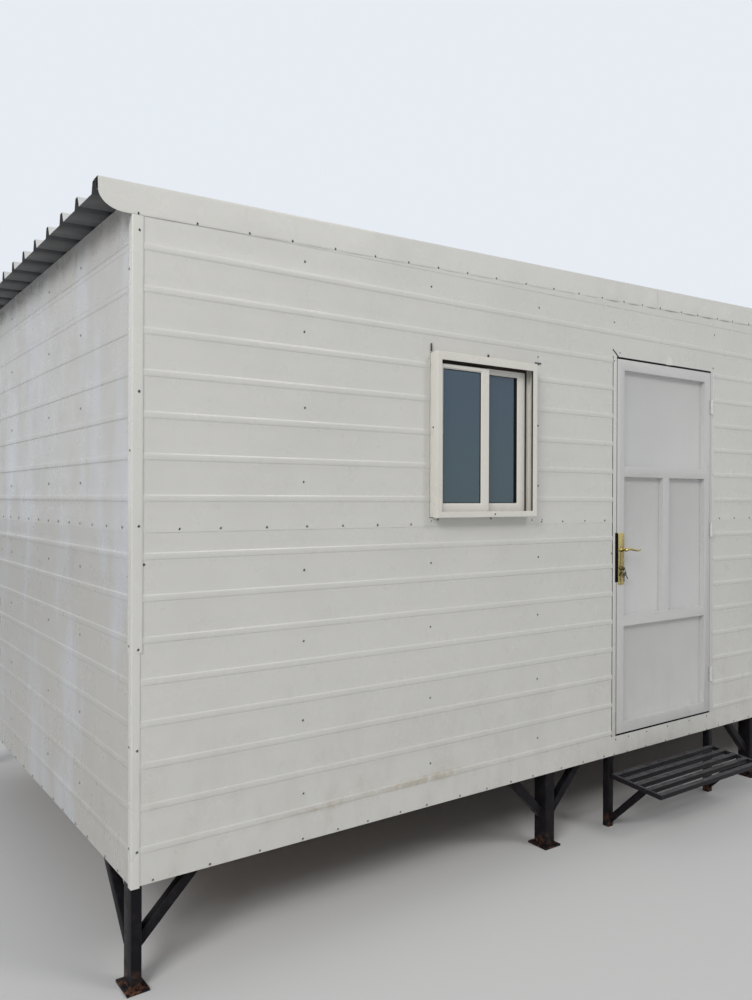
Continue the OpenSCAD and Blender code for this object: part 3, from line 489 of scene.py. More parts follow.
def put_in_order(shape):
    """Sorts a shape's parts along a slanting line, so that what is done next comes out the same each run."""
    slanting = Vector((17.31, 3.1, 131.7))
    for parts, middle in ((shape.verts, lambda v: v.co), (shape.faces, lambda f: f.calc_center_median()),
                          (shape.edges, lambda e: (e.verts[0].co + e.verts[1].co) / 2)):
        parts.sort(key=lambda part: round(middle(part).dot(slanting), 4))


def is_upright(edge):
    """True for edges that run up and down."""
    a, b = (v.co for v in edge.verts)
    return abs(a.z - b.z) > 0.9 * (a - b).length


def box(shape, low, high, worn=0.0, segments=2, which=None, place=None):
    """A box between two corners, with its edges, or those of them that which picks, worn round."""
    low, high = Vector(low), Vector(high)
    size = Matrix.Diagonal((*(high - low), 1.0))
    middle = Matrix.Translation((low + high) / 2)
    verts = bmesh.ops.create_cube(shape, size=1.0, matrix=middle @ size)["verts"]
    if place is not None:
        bmesh.ops.transform(shape, matrix=place, verts=verts)
    edges = {edge for v in verts for edge in v.link_edges}
    if worn:
        soften(shape, {edge for edge in edges if not which or which(edge)}, worn, segments, clamp=True)
    return edges


def cone(shape, place, low_radius, high_radius, height, sides=10):
    bmesh.ops.create_cone(shape, cap_ends=True, segments=sides, radius1=low_radius, radius2=high_radius,
                          depth=height, matrix=place)


def tube_along(shape, path, radii, sides=10, flatten=1.0, across=INWARD):
    """Round bar through the points of path, with a radius at each; flatten squeezes it along across."""
    rings = []
    for index, point in enumerate(path):
        after = path[min(index + 1, len(path) - 1)]
        before = path[max(index - 1, 0)]
        along = (after - before).normalized()
        side = along.cross(across).normalized()
        turn = Matrix((side, across * flatten, along)).transposed().to_4x4()
        ring = bmesh.ops.create_circle(shape, segments=sides, radius=radii[index],
                                       matrix=Matrix.Translation(point) @ turn, cap_ends=False)["verts"]
        rings.append(list({edge for v in ring for edge in v.link_edges}))
    for first, second in zip(rings, rings[1:]):
        bmesh.ops.bridge_loops(shape, edges=first + second)
    for ring in (rings[0], rings[-1]):
        bmesh.ops.contextual_create(shape, geom=ring)


def slanted_bar(shape, outline, thick, along, worn):
    """A bar with slanted ends: its side outline, drawn out along a direction and softened."""
    face = shape.faces.new([shape.verts.new(point) for point in outline])
    made = bmesh.ops.extrude_face_region(shape, geom=[face])
    bmesh.ops.translate(shape, vec=along * thick, verts=new_verts(made))
    bmesh.ops.recalc_face_normals(shape, faces=shape.faces)
    soften(shape, shape.edges[:], worn, 3)


def weld_bead(shape, start, end, radius=0.0030):
    """A rough seam of weld between two points."""
    start, end = Vector(start), Vector(end)
    count = max(4, round((end - start).length / 0.006))
    path = [start.lerp(end, i / count) for i in range(count + 1)]
    radii = [radius * random.uniform(0.75, 1.2) for _ in path]
    is_level = abs((end - start).normalized().z) < 0.7
    tube_along(shape, path, radii, sides=6, across=UPWARD if is_level else INWARD)


def ripple(x, z, seed, span=(0.55, 0.3)):
    """Slow random waves between 0 and 1 over a sheet."""
    return 0.5 + 0.5 * noise.noise(Vector((x / span[0], z / span[1], seed * 7.3)))


def dimple(x, z, at_x, at_z, reach):
    """1 at a dent's middle, falling softly to 0 at its reach."""
    far = math.hypot(x - at_x, z - at_z) / reach
    return (1.0 - far * far) ** 2 if far < 1.0 else 0.0


def sheet_line(z0, z1, bands):
    """Cross section of a wall sheet from z0 to z1, as (out, up) points, with three between two bands."""
    points = [(0.0, z0)]
    for middle in bands:
        start = points[-1][1]
        foot = middle - BAND_SIDE[0][0]
        points += [(0.0, start + (foot - start) * i / 4) for i in (1, 2, 3)]
        points += [(out, middle - off) for off, out in BAND_SIDE]
        points += [(out, middle + off) for off, out in reversed(BAND_SIDE)]
    start = points[-1][1]
    return points + [(0.0, start + (z1 - start) * i / 4) for i in (1, 2, 3, 4)]


LAP_PUFF_H = 0.04


def lap_puff(x, along, z, seed):
    """How far the upper sheet's lower edge stands off and puffs out between its rivets."""
    if z >= LAP_Z + LAP_PUFF_H:
        return 0.0
    near_edge = 1.0 - (z - LAP_Z) / LAP_PUFF_H
    puff = abs(math.sin(math.pi * (along - 0.05) / BAND_PITCH))
    return near_edge ** 0.5 * 0.0010 + near_edge * 0.0012 * puff * ripple(x, 0.0, seed + 9, (0.3, 1.0))


def wall_sheets(name, wall, x0, x1, node, seed, spacing=0.025, wave=0.0005, hole=None, start=LAP_Z, dents=(),
                finish=SHEET):
    """The banded sheets of a wall, gently wavy, the upper lapped over the lower. A sheet that starts above
    the lap has no lower one."""
    shape = bmesh.new()
    count = max(1, round((x1 - x0) / spacing))
    top = max(wall.top_at(x0), wall.top_at(x1))
    upper_line = sheet_line(start, top, [z for z in HIGH_BANDS if z > start + 0.05])
    lines = [(upper_line, True)]
    if start == LAP_Z:
        lines.insert(0, (sheet_line(0.0, LAP_Z + LAP_W, LOW_BANDS), False))
    for line, is_upper in lines:
        part = bmesh.new()
        swept(part, [(x0, -out, up) for out, up in line], (x1 - x0, 0.0, 0.0), count)
        if is_upper:
            above = Vector((-wall.rise, 0.0, 1.0)).normalized()
            cut_along(part, (0.0, 0.0, wall.top), above, drop_outer=True)
            if hole:
                cut_hole(part, *hole)
        for v in part.verts:
            x, z = v.co.x, v.co.z
            inward = wave * ripple(x, z, seed) + wave * 0.6 * ripple(x, z, seed + 3, (0.2, 0.11))
            for at_x, at_z, reach, depth in dents:
                inward += depth * dimple(x, z, at_x, at_z, reach)
            if is_upper and len(lines) > 1:
                inward -= lap_puff(x, x - x0, z, seed)
            near_corner = min(1.0, max(0.0, (min(x, wall.length - x) - 0.022) / 0.012))
            v.co.y = v.co.y * near_corner + inward
        fold_rim(part, SHEET_FOLD)
        merge(shape, part)
    piece(name, shape, finish, instead_of=(node,), place=wall.place, sheet=True)


def rivet_head():
    """One blind rivet's head on the plane Z = 0: a low dome with a hole painted black as shade."""
    head = bmesh.new()
    cone(head, Matrix.Translation((0.0, 0.0, 0.0006)), 0.0056, 0.0041, 0.0016)
    dark = head.faces.layers.float.new("back_coat_and_painted_shade")
    top = max(head.faces, key=lambda face: face.calc_center_median().z)
    bmesh.ops.inset_region(head, faces=[top], thickness=0.0010)
    bmesh.ops.translate(head, vec=(0.0, 0.0, -0.0011), verts=top.verts)
    # The hole takes RIVET's black second colour: painted shade
    top[dark] = 1.0
    return mesh_of(head, "rivet_head")


def rivets(spots):
    """Rivet heads at (wall, x, out, z) spots, each a little askew."""
    head = rivet_head()
    shape = bmesh.new()
    done = 0
    for wall, x, out, z in spots:
        shape.from_mesh(head)
        shape.verts.ensure_lookup_table()
        lean, sway = random.uniform(-0.12, 0.12), random.uniform(-0.12, 0.12)
        tilt = Matrix.Rotation(lean, 4, "X") @ Matrix.Rotation(sway, 4, "Y")
        face_out = UPRIGHT @ tilt @ Matrix.Scale(random.uniform(0.92, 1.08), 4)
        place = wall.place @ Matrix.Translation((x, -out, z)) @ face_out
        bmesh.ops.transform(shape, matrix=place, verts=shape.verts[done:])
        done = len(shape.verts)
    piece("sheet_rivets", shape, RIVET, crease=60.0, place=FRAME_PLACE)


def evenly(start, stop, pitch, loose=0.006):
    """Places from start to stop, about a pitch apart, each a little off its mark."""
    count = max(1, round((stop - start) / pitch))
    return [start + (stop - start) * i / count + random.uniform(-loose, loose) for i in range(count + 1)]


# Studs of the front wall's left half, and the rivets on each stud
STUDS = (0.706, 1.369, 2.056)
STUD_RIVETS_Z = (2.340, 2.057, 1.751, 1.452, 1.096, 0.809, 0.489, 0.193)
# Rivets along the bottom edge and along the lap of the front's left half
EDGE_RIVETS = (0.079, 0.300, 0.510, 0.704, 0.873, 1.025, 1.200, 1.349, 1.546, 1.716, 1.875, 2.028, 2.235,
               2.400, 2.569)
LAP_RIVETS = (0.176, 0.340, 0.536, 0.718, 0.892, 1.070, 1.252, 2.082, 2.236, 2.406, 2.566)
# An end wall's studs and lap rivets, from the front corner
END_STUDS = (0.632, 1.135, 1.900, 2.420)
END_LAP_RIVETS = (0.105, 0.285, 0.464, 0.632, 0.793, 0.966, 1.135, 1.318, 1.516, 1.731, 1.916, 2.10, 2.28,
                  2.46, 2.64, 2.82)
END_LAP_RIVETS_Z = LAP_RIVETS_Z + 0.006
FRONT_EDGE_Z, OTHER_EDGE_Z = 0.010, 0.009
WINDOW_MARGIN = 0.02


def wall_spots():
    """Rivets of the four walls' sheets."""
    spots = []
    for stud in STUDS + tuple(LENGTH - stud for stud in STUDS):
        by_window = any(-WINDOW_MARGIN < stud - left < WINDOW_W + WINDOW_MARGIN for left in WINDOW_LEFTS)
        for z in STUD_RIVETS_Z:
            if not (by_window and WINDOW_LOW - WINDOW_MARGIN < z < WINDOW_HIGH + WINDOW_MARGIN):
                spots.append((FRONT_WALL, stud + random.uniform(-0.004, 0.004), 0.0, z))
    spots += [(REAR_WALL, x, LAP_OUT, LAP_RIVETS_Z) for x in evenly(0.06, LENGTH - 0.06, BAND_PITCH)]
    spots += [(FRONT_WALL, x, LAP_OUT, LAP_RIVETS_Z) for left in LAP_RIVETS for x in (left, LENGTH - left)]
    spots += [(REAR_WALL, x, 0.0, OTHER_EDGE_Z) for x in evenly(0.16, LENGTH - 0.12, 0.19, 0.02)]
    spots += [(FRONT_WALL, x, 0.0, FRONT_EDGE_Z) for left in EDGE_RIVETS for x in (left, LENGTH - left)]
    for x in evenly(0.70, LENGTH - 0.70, 0.60):
        spots += [(REAR_WALL, x, 0.0, z + random.uniform(-0.02, 0.02)) for z in STUD_RIVETS_Z]
    for wall in (LEFT_END, RIGHT_END):
        studs, laps = END_STUDS, END_LAP_RIVETS
        if wall is LEFT_END:
            studs, laps = ([DEPTH - from_front for from_front in row] for row in (studs, laps))
        for x in studs:
            spots += [(wall, x, 0.0, z + random.uniform(-0.008, 0.008)) for z in STUD_RIVETS_Z]
        spots += [(wall, x, LAP_OUT, END_LAP_RIVETS_Z) for x in laps]
        spots += [(wall, x, 0.0, OTHER_EDGE_Z) for x in evenly(0.14, DEPTH - 0.14, 0.18, 0.03)]
    spots.append((FRONT_WALL, 0.043, 0.0, 1.146))
    return spots


FASCIA_TOP, FASCIA_H = 0.0448, 0.112
FASCIA_LOW = FASCIA_TOP - FASCIA_H
FASCIA_OUT, FASCIA_LAP_OUT = 0.0026, 0.0040

# Corner trims: a low and a high length of folded sheet at each corner
TRIM_LAP_Z = 0.833
TRIM_LOW_W, TRIM_HIGH_W = 0.029, 0.037
TRIM_DROP, TRIM_T, TRIM_STEP = 0.006, 0.0008, 0.04
# Their rivets, as (height, distance from the corner, out)
TRIM_RIVETS = ((0.124, 0.019, 0.0034), (0.485, 0.019, 0.0034), (0.845, 0.021, 0.0046), (1.284, 0.022, 0.0046),
               (1.764, 0.022, 0.0046))
TRIM_TOP_RIVET_DOWN = 0.052
TRIM_END_RIVETS = ((0.136, 0.019, 0.0034), (0.497, 0.019, 0.0034), (0.857, 0.021, 0.0046),
                   (1.101, 0.043, 0.0), (1.554, 0.015, 0.0046), (2.202, 0.026, 0.0046))


def trim_line(width, out):
    """Plan of a corner trim's fold, from one free edge round the corner to the other."""
    fold = 0.0035
    half = [(width, 0.0), (width - 0.0006, -out * 0.8), (width - 0.0022, -out)]
    half += [(width * share, -out) for share in (0.75, 0.5, 0.25)]
    half += [(fold - out - fold * math.sin(turn), fold - out - fold * math.cos(turn))
             for turn in (math.radians(degrees) for degrees in (0.0, 18.0, 36.0))]
    return half + [(y, x) for x, y in reversed(half)]


def trim_length(width, out, z0, z1, seed):
    """One length of trim in its corner's measures, slightly wavy along its free edges."""
    part = bmesh.new()
    line = [(x, y, z0) for x, y in trim_line(width, out)]
    swept(part, line, (0.0, 0.0, z1 - z0), round((z1 - z0) / TRIM_STEP))
    for v in part.verts:
        sway = 0.0008 * (ripple(v.co.z, 0.0, seed, (0.35, 1.0)) - 0.5)
        v.co.x += sway
        v.co.y += sway
        if v.co.x > width - 0.003 or v.co.y > width - 0.003:
            v.co -= Vector((sway * 3.0, sway * 3.0, 0.0))
    bmesh.ops.solidify(part, geom=part.faces[:], thickness=TRIM_T)
    return part


def corner_trims():
    shape = bmesh.new()
    spots = []
    for index, (x_side, y_side) in enumerate(((1, 1), (-1, 1), (-1, -1), (1, -1))):
        corner = Vector((LEFT if x_side > 0 else RIGHT, FRONT if y_side > 0 else REAR, BOTTOM))
        top = EAVES + FASCIA_LOW - 0.0005 + (0.0 if x_side > 0 else (LENGTH - TRIM_HIGH_W) * ROOF_RISE)
        place = Matrix.Translation(corner) @ Matrix.Diagonal((x_side, y_side, 1.0, 1.0))
        for width, out, z0, z1 in ((TRIM_LOW_W, 0.0022, -TRIM_DROP, TRIM_LAP_Z + LAP_W),
                                   (TRIM_HIGH_W, 0.0034, TRIM_LAP_Z, top)):
            merge(shape, trim_length(width, out, z0, z1, index + width * 99.0), place)
        front_wall = FRONT_WALL if y_side > 0 else REAR_WALL
        end_wall = LEFT_END if x_side > 0 else RIGHT_END
        is_front_wall_start = (x_side > 0) == (y_side > 0)
        for z, from_edge, out in TRIM_RIVETS + ((top - TRIM_TOP_RIVET_DOWN, 0.022, 0.0046),):
            along = from_edge if is_front_wall_start else front_wall.length - from_edge
            spots.append((front_wall, along, out, z))
        for z, from_edge, out in TRIM_END_RIVETS:
            along = end_wall.length - from_edge if is_front_wall_start else from_edge
            spots.append((end_wall, along, out, z))
    piece("folded_corner_trims", shape, TRIM, instead_of=("corner_trims",), crease=40.0,
          place=FRAME_PLACE)
    return spots


# Roof: its own place, with Z = 0 at the sheet's underside at the left end
ROOF_PLACE = Matrix.Translation((LEFT, FRONT, BOTTOM + EAVES)) @ Matrix.Rotation(-ROOF_ANGLE, 4, "Y")
ROOF_OUT, ROOF_LIFT, ROOF_T = 0.124, 0.0024, 0.0007
RIB_PITCH, RIB_FIRST, RIB_COUNT = 0.208, 0.045, 14
RIB_SIDE = ((0.029, 0.0), (0.0275, 0.0012), (0.0145, 0.0385), (0.0128, 0.0398))
RIB_TOP = 0.0400
GABLE_WAVE, GABLE_WAVE_REACH = 0.0016, 0.15
PURLINS, PURLIN_INSET = 7, 0.10


def roof_sheet():
    """Trapezoid sheet, white above and grey below, with an edge that waves a little at the gables. The grey
    is the back coat darkened as painted shade; the top faces hidden under the fascia's fold are painted dark
    as shade too.
    """
    shape = bmesh.new()
    points = [(0.0, 0.0)]
    for i in range(RIB_COUNT):
        middle = RIB_FIRST + RIB_PITCH * i
        points.append(((points[-1][0] + middle - RIB_SIDE[0][0]) / 2, 0.0))
        points += [(middle - off, up) for off, up in RIB_SIDE]
        points.append((middle, RIB_TOP))
        points += [(middle + off, up) for off, up in reversed(RIB_SIDE)]
    points += [((points[-1][0] + DEPTH) / 2, 0.0), (DEPTH, 0.0)]
    line = [(-ROOF_OUT, y, up + ROOF_LIFT) for y, up in points]
    swept(shape, line, (LENGTH + 2 * ROOF_OUT, 0.0, 0.0), 70)
    for v in shape.verts:
        from_gable = min(v.co.x, LENGTH - v.co.x) + ROOF_OUT
        end = max(0.0, 1.0 - from_gable / GABLE_WAVE_REACH)
        v.co.z -= GABLE_WAVE * end * ripple(v.co.y, 0.0, 4.0, (0.25, 1.0))
    bmesh.ops.recalc_face_normals(shape, faces=shape.faces)
    face_towards(shape, UPWARD)
    bmesh.ops.solidify(shape, geom=shape.faces[:], thickness=ROOF_T)
    first_flank = RIB_FIRST - 0.010
    # The underside and the faces under the fascia's fold take the dark second colour: back coat darkened as
    # painted shade
    mark_back_coat_and_painted_shade(shape, lambda face: face.normal.z < -0.02 or face.calc_center_median().y < first_flank)
    piece("trapezoid_roof_sheet", shape, ROOF, instead_of=("roof_sheet",), crease=40.0,
          place=ROOF_PLACE)


def roof_screws():
    """Washer-head screws through every rib into the purlins."""
    shape = bmesh.new()
    for i in range(RIB_COUNT):
        for j in range(PURLINS):
            x = PURLIN_INSET + j * (LENGTH - 2 * PURLIN_INSET) / (PURLINS - 1) + random.uniform(-0.01, 0.01)
            cone(shape, Matrix.Translation((x, RIB_FIRST + RIB_PITCH * i, 0.0415)), 0.0080, 0.0065, 0.0012)
    piece("roof_screws", shape, STEEL, crease=50.0, place=ROOF_PLACE)


# The rounded end of a fascia, and the joint of the front fascia's two lengths
CURVE_W, CURVE_H = 0.094, 0.068
FASCIA_JOINT, FASCIA_LAP = 3.058, 0.04
FASCIA_T = 0.0006
# Distances between the fascia's rivets, from the left; further right they stay at LAST_RIVET_STEP
FIRST_RIVET, LAST_RIVET_STEP = 0.019, 0.183
RIVET_STEPS = (0.223, 0.215, 0.190, 0.203, 0.203, 0.181, 0.170, 0.176, 0.184, 0.201, 0.198, 0.190,
               0.185, 0.181, 0.160, 0.161, 0.201, 0.160, 0.203, 0.163)
FASCIA_RIVETS_UP = FASCIA_LOW + 0.0065
FASCIA_RIVETS_Z = EAVES + FASCIA_RIVETS_UP
# The joint's length of fascia is pulled in and puffed out more than the rest
LOOSE_FROM, LOOSE_TO = 2.5, 3.7


def fascia_line(out):
    """Cross section of a fascia, from its top fold down its face to its lower fold, as (y, z)."""
    face_top, face_h = FASCIA_TOP - 0.004, FASCIA_H - 0.006
    points = [(0.052, FASCIA_TOP - 0.0030), (0.045, FASCIA_TOP - 0.0006), (0.020, FASCIA_TOP),
              (-out + 0.004, FASCIA_TOP), (-out + 0.0012, FASCIA_TOP - 0.0004),
              (-out + 0.0002, FASCIA_TOP - 0.0016), (-out, face_top)]
    points += [(-out, face_top - face_h * i / 13) for i in range(1, 14)]
    return points + [(-out + 0.0006, FASCIA_LOW + 0.0004), (-out + 0.0014, FASCIA_LOW + 0.0006)]


def fascia(name, x0, x1, out, instead_of=(), dents=(), place=ROOF_PLACE):
    """A folded fascia strip in its own plane: rounded under the overhangs, pulled in round its rivets,
    grey inside and on its downward faces, where a back coat is darkened as painted shade."""
    shape = bmesh.new()
    swept(shape, [(x0, y, z) for y, z in fascia_line(out)], (x1 - x0, 0.0, 0.0), round((x1 - x0) / 0.0125))
    for v in shape.verts:
        x, z = v.co.x, v.co.z
        past = max(-x, x - LENGTH, 0.0)
        if past > 0.0:
            # The points move closer together towards the rounded end
            past = (ROOF_OUT - 0.0001) * math.sin(math.pi / 2 * min(past / ROOF_OUT, 1.0))
            v.co.x = -past if x < 0.0 else LENGTH + past
        into_curve = (past - ROOF_OUT + CURVE_W) / CURVE_W
        if into_curve > 0.0 and v.co.y < 0.004:
            lift = CURVE_H * (1.0 - math.sqrt(max(0.0, 1.0 - into_curve ** 2)))
            v.co.z = FASCIA_TOP - (FASCIA_TOP - z) * (FASCIA_H - lift) / FASCIA_H
        if v.co.y < 0.0:
            low_down = (FASCIA_TOP - z) / FASCIA_H
            v.co.y += 0.0007 * low_down * ripple(x, z, 11.0, (0.30, 0.2))
            for at_x, at_z, reach, depth in dents:
                v.co.y += depth * dimple(x, z, at_x, at_z, reach)
    bmesh.ops.recalc_face_normals(shape, faces=shape.faces)
    face_towards(shape, OUTWARD)
    bmesh.ops.solidify(shape, geom=shape.faces[:], thickness=FASCIA_T)
    # Inside and downward faces take TRIM's dark second colour: back coat darkened as painted shade
    mark_back_coat_and_painted_shade(shape, lambda face: face.normal.y > 0.3 or face.normal.z < -0.5)
    piece(name, shape, TRIM, instead_of=instead_of, crease=45.0, place=place)


def rib_fillers():
    """Dark foam that closes the fascia's open ends against the first and last ribs."""
    shape = bmesh.new()
    flank_foot, flank_top, thick, inset = 0.0165, 0.0315, 0.014, 0.0015
    for x in (-ROOF_OUT + inset, LENGTH + ROOF_OUT - inset - thick):
        outline = [(x, 0.0006, 0.0034), (x, flank_foot, 0.0034), (x, flank_top, 0.0405), (x, 0.0006, 0.0430)]
        for place in (None, mirrored(y=DEPTH)):
            part = bmesh.new()
            slanted_bar(part, outline, thick, ALONG_X, 0.0008)
            merge(shape, part, place)
    piece("rib_end_fillers", shape, RUBBER, place=ROOF_PLACE)


def fascias():
    """The fascias with the dents between and round their rivets. Returns the rivets' spots."""
    places = [FIRST_RIVET]
    while places[-1] < LENGTH - 0.2:
        step = RIVET_STEPS[len(places) - 1] if len(places) <= len(RIVET_STEPS) else LAST_RIVET_STEP
        places.append(places[-1] + step)
    spots, dents = [], []
    for x in places:
        reach, pull = (0.034, 0.0006) if x < 2.3 else (0.055, 0.0012)
        dents.append((x, FASCIA_RIVETS_UP, reach, pull))
        out = FASCIA_OUT if x < FASCIA_JOINT - FASCIA_LAP else FASCIA_LAP_OUT
        z = FASCIA_RIVETS_Z + x * ROOF_RISE
        spots += [(FRONT_WALL, x, out - pull, z), (REAR_WALL, LENGTH - x, FASCIA_OUT, z)]
    for x, after in zip(places, places[1:]):
        puff = 0.0042 if LOOSE_FROM < x < LOOSE_TO else 0.0008
        dents.append(((x + after) / 2, FASCIA_LOW + 0.030, 0.070, -puff))
    fascia("front_fascia_left", -ROOF_OUT, FASCIA_JOINT, FASCIA_OUT, ("front_fascia",),
           [dent for dent in dents if dent[0] < FASCIA_JOINT + 0.05])
    fascia("front_fascia_right", FASCIA_JOINT - FASCIA_LAP, LENGTH + ROOF_OUT, FASCIA_LAP_OUT,
           dents=[dent for dent in dents if dent[0] > FASCIA_JOINT - 0.05])
    fascia("rear_fascia_strip", -ROOF_OUT, LENGTH + ROOF_OUT, FASCIA_OUT, ("rear_fascia",),
           place=mirrored(y=REAR + FRONT) @ ROOF_PLACE)
    return spots


def infill_strips():
    """The strips between the sheets and the fascias, taller to the right, with a sharp lower edge."""
    shape = bmesh.new()
    for wall, flip in ((FRONT_WALL, None), (REAR_WALL, mirrored(x=LENGTH))):
        part = bmesh.new()
        swept(part, [(0.0, -0.0013, i / 6) for i in range(7)], (LENGTH, 0.0, 0.0), 160)
        for v in part.verts:
            x, share = v.co.x, v.co.z
            low = INFILL_LOW + x * INFILL_RISE
            high = EAVES - 0.002 + x * ROOF_RISE
            v.co.z = low + (high - low) * share
            v.co.y += 0.0009 * (1.0 - share) * ripple(x, 0.0, 21.0, (0.13, 1.0))
        if flip:
            bmesh.ops.transform(part, matrix=flip, verts=part.verts)
        fold_rim(part, Vector((0.0, 0.0010, 0.0)))
        merge(shape, part, wall.place)
    piece("eaves_infill_strips", shape, SHEET, instead_of=("infill_strips",),
          place=FRAME_PLACE)


# Base: legs, braces and the step, in the front wall's own measures with y running inwards
MIDDLE_LEG_W = 0.064
LEG_WS = (0.040, MIDDLE_LEG_W, MIDDLE_LEG_W, 0.040)
LEG_XS = (0.004, 2.134, LENGTH - 2.134 - MIDDLE_LEG_W, LENGTH - 0.044)
LEG_D = 0.080
LEG_YS = (0.012, DEPTH - 0.012 - LEG_D)
GROUND = -BOTTOM
RAIL_LOW = 0.004
FOOT_T, FOOT_OUT = 0.010, 0.022
BRACE_REACH, BRACE_W = 0.245, 0.040
STRUT_REACH, STRUT_W, STRUT_T = 0.221, 0.035, 0.006


def leg(shape, x, y, w):
    """One rectangular tube with a foot plate, welded all round."""
    foot = GROUND + FOOT_T
    box(shape, (x, y, foot - 0.001), (x + w, y + LEG_D, RAIL_LOW), 0.0045, 3, is_upright)
    box(shape, (x - FOOT_OUT, y - FOOT_OUT, GROUND), (x + w + FOOT_OUT, y + LEG_D + FOOT_OUT, foot), 0.0015)
    corners = ((x, y, foot), (x + w, y, foot), (x + w, y + LEG_D, foot), (x, y + LEG_D, foot))
    for a, b in zip(corners, corners[1:] + corners[:1]):
        weld_bead(shape, a, b)


def leg_row(name, y, node):
    shape = bmesh.new()
    for x, w in zip(LEG_XS, LEG_WS):
        leg(shape, x, y, w)
    piece(name, shape, BLACK, instead_of=(node,))


def brace(shape, x, y, turn):
    """A square bar from a leg up to the rail, drawn in the XZ plane from the leg's face at X = 0."""
    part = bmesh.new()
    slant, side, low = BRACE_W * math.sqrt(2.0), BRACE_W / 2, RAIL_LOW - BRACE_REACH
    outline = [(0.0, -side, low), (BRACE_REACH, -side, RAIL_LOW), (BRACE_REACH - slant, -side, RAIL_LOW),
               (0.0, -side, low + slant)]
    slanted_bar(part, outline, BRACE_W, INWARD, 0.0035)
    weld_x, weld_y, ends = 0.001, side - 0.003, (low + 0.004, low + slant - 0.004)
    for at_y in (-weld_y, weld_y):
        weld_bead(part, (weld_x, at_y, ends[0]), (weld_x, at_y, ends[1]))
    for z in ends:
        weld_bead(part, (weld_x, -weld_y, z), (weld_x, weld_y, z))
    merge(shape, part, Matrix.Translation((x, y, 0.0)) @ Matrix.Rotation(turn, 4, "Z"))


def knee_braces():
    shape = bmesh.new()
    last = len(LEG_XS) - 1
    for y, far_side, quarter_turn in ((LEG_YS[0], LEG_D, math.pi / 2), (LEG_YS[1], 0.0, -math.pi / 2)):
        for index, (x, w) in enumerate(zip(LEG_XS, LEG_WS)):
            if index < last:
                brace(shape, x + w, y + LEG_D / 2, 0.0)
            if index > 0:
                brace(shape, x, y + LEG_D / 2, math.pi)
            if index in (0, last):
                brace(shape, x + w / 2, y + far_side, quarter_turn)
    piece("welded_knee_braces", shape, BLACK, instead_of=("knee_braces",))


STEP_X0, STEP_X1 = DOOR_MIDDLE - 0.475, DOOR_MIDDLE + 0.459
STEP_TOP, STEP_DEEP, STEP_BAR_W, STEP_BAR_H = -0.095, 0.316, 0.030, 0.025
STEP_BARS = 5
STEP_DROOP = math.radians(4.9)
STEP_POST, STEP_POST_OUT = 0.040, 0.017


def door_step():
    """Bars between two side bars, welded at their ends, all drooping to the front."""
    shape = bmesh.new()
    gap = (STEP_DEEP - STEP_BARS * STEP_BAR_W) / (STEP_BARS - 1)
    bar_ys = [-STEP_DEEP + i * (STEP_BAR_W + gap) for i in range(STEP_BARS)]
    for y in bar_ys:
        box(shape, (STEP_X0 + 0.013, y, -STEP_BAR_H), (STEP_X1 - 0.013, y + STEP_BAR_W, 0.0), 0.0025, 3)
    side_w = STEP_BAR_W / 2
    for x, inner in ((STEP_X0, STEP_X0 + side_w), (STEP_X1 - side_w, STEP_X1 - side_w)):
        box(shape, (x, -STEP_DEEP, -STEP_BAR_H), (x + side_w, 0.0, 0.0), 0.0020, 3)
        for y in bar_ys:
            weld_bead(shape, (inner, y + 0.003, -0.0005), (inner, y + STEP_BAR_W - 0.003, -0.0005), 0.0018)
    droop = Matrix.Translation((0.0, 0.0, STEP_TOP)) @ Matrix.Rotation(STEP_DROOP, 4, "X")
    piece("slatted_door_step", shape, STEP_BLACK, instead_of=("door_step",),
          place=FRONT_WALL.place @ droop)


def step_posts():
    """Square posts that carry the step, each with a strut under it."""
    shape = bmesh.new()
    back = 0.0025
    fall = math.tan(STEP_DROOP)
    under = STEP_TOP - STRUT_REACH * fall - STEP_BAR_H / math.cos(STEP_DROOP) - 0.0006
    slant = STRUT_W * math.sqrt(2.0)
    for x in (STEP_X0 - STEP_POST_OUT, STEP_X1 + STEP_POST_OUT - STEP_POST):
        box(shape, (x, back, GROUND), (x + STEP_POST, back + STEP_POST, RAIL_LOW), 0.0040, 3, is_upright)
        side = (max(x, STEP_X0) + min(x + STEP_POST, STEP_X1)) / 2 - STRUT_T / 2
        part = bmesh.new()
        outline = [(side, back, under - STRUT_REACH), (side, -STRUT_REACH, under),
                   (side, slant - STRUT_REACH, under + slant * fall),
                   (side, back, under - STRUT_REACH + slant)]
        slanted_bar(part, outline, STRUT_T, ALONG_X, 0.0009)
        merge(shape, part)
    piece("step_posts_and_struts", shape, BLACK, instead_of=("step_posts",))


# Door, in the front wall's measures: y runs inwards
LEAF_X0, LEAF_X1 = DOOR_MIDDLE - 0.433, DOOR_MIDDLE + 0.433
LEAF_Z0, LEAF_Z1 = 0.112, 2.147
LEAF_Y0, LEAF_T = -0.002, 0.038
STILE = 0.058
PANEL_BACK, PANEL_T = 0.028, 0.008
LEAF_GAP = 0.008


def door_fields():
    """Clear fields of the leaf between stiles and rails, as (x0, x1, z0, z1)."""
    x0, x1, half = LEAF_X0 + STILE, LEAF_X1 - STILE, STILE / 2
    low, high = LEAF_Z0 + 0.610, LEAF_Z0 + 1.425
    return ((x0, x1, LEAF_Z0 + STILE, low - half), (x0, DOOR_MIDDLE - half, low + half, high - half),
            (DOOR_MIDDLE + half, x1, low + half, high - half), (x0, x1, high + half, LEAF_Z1 - STILE))


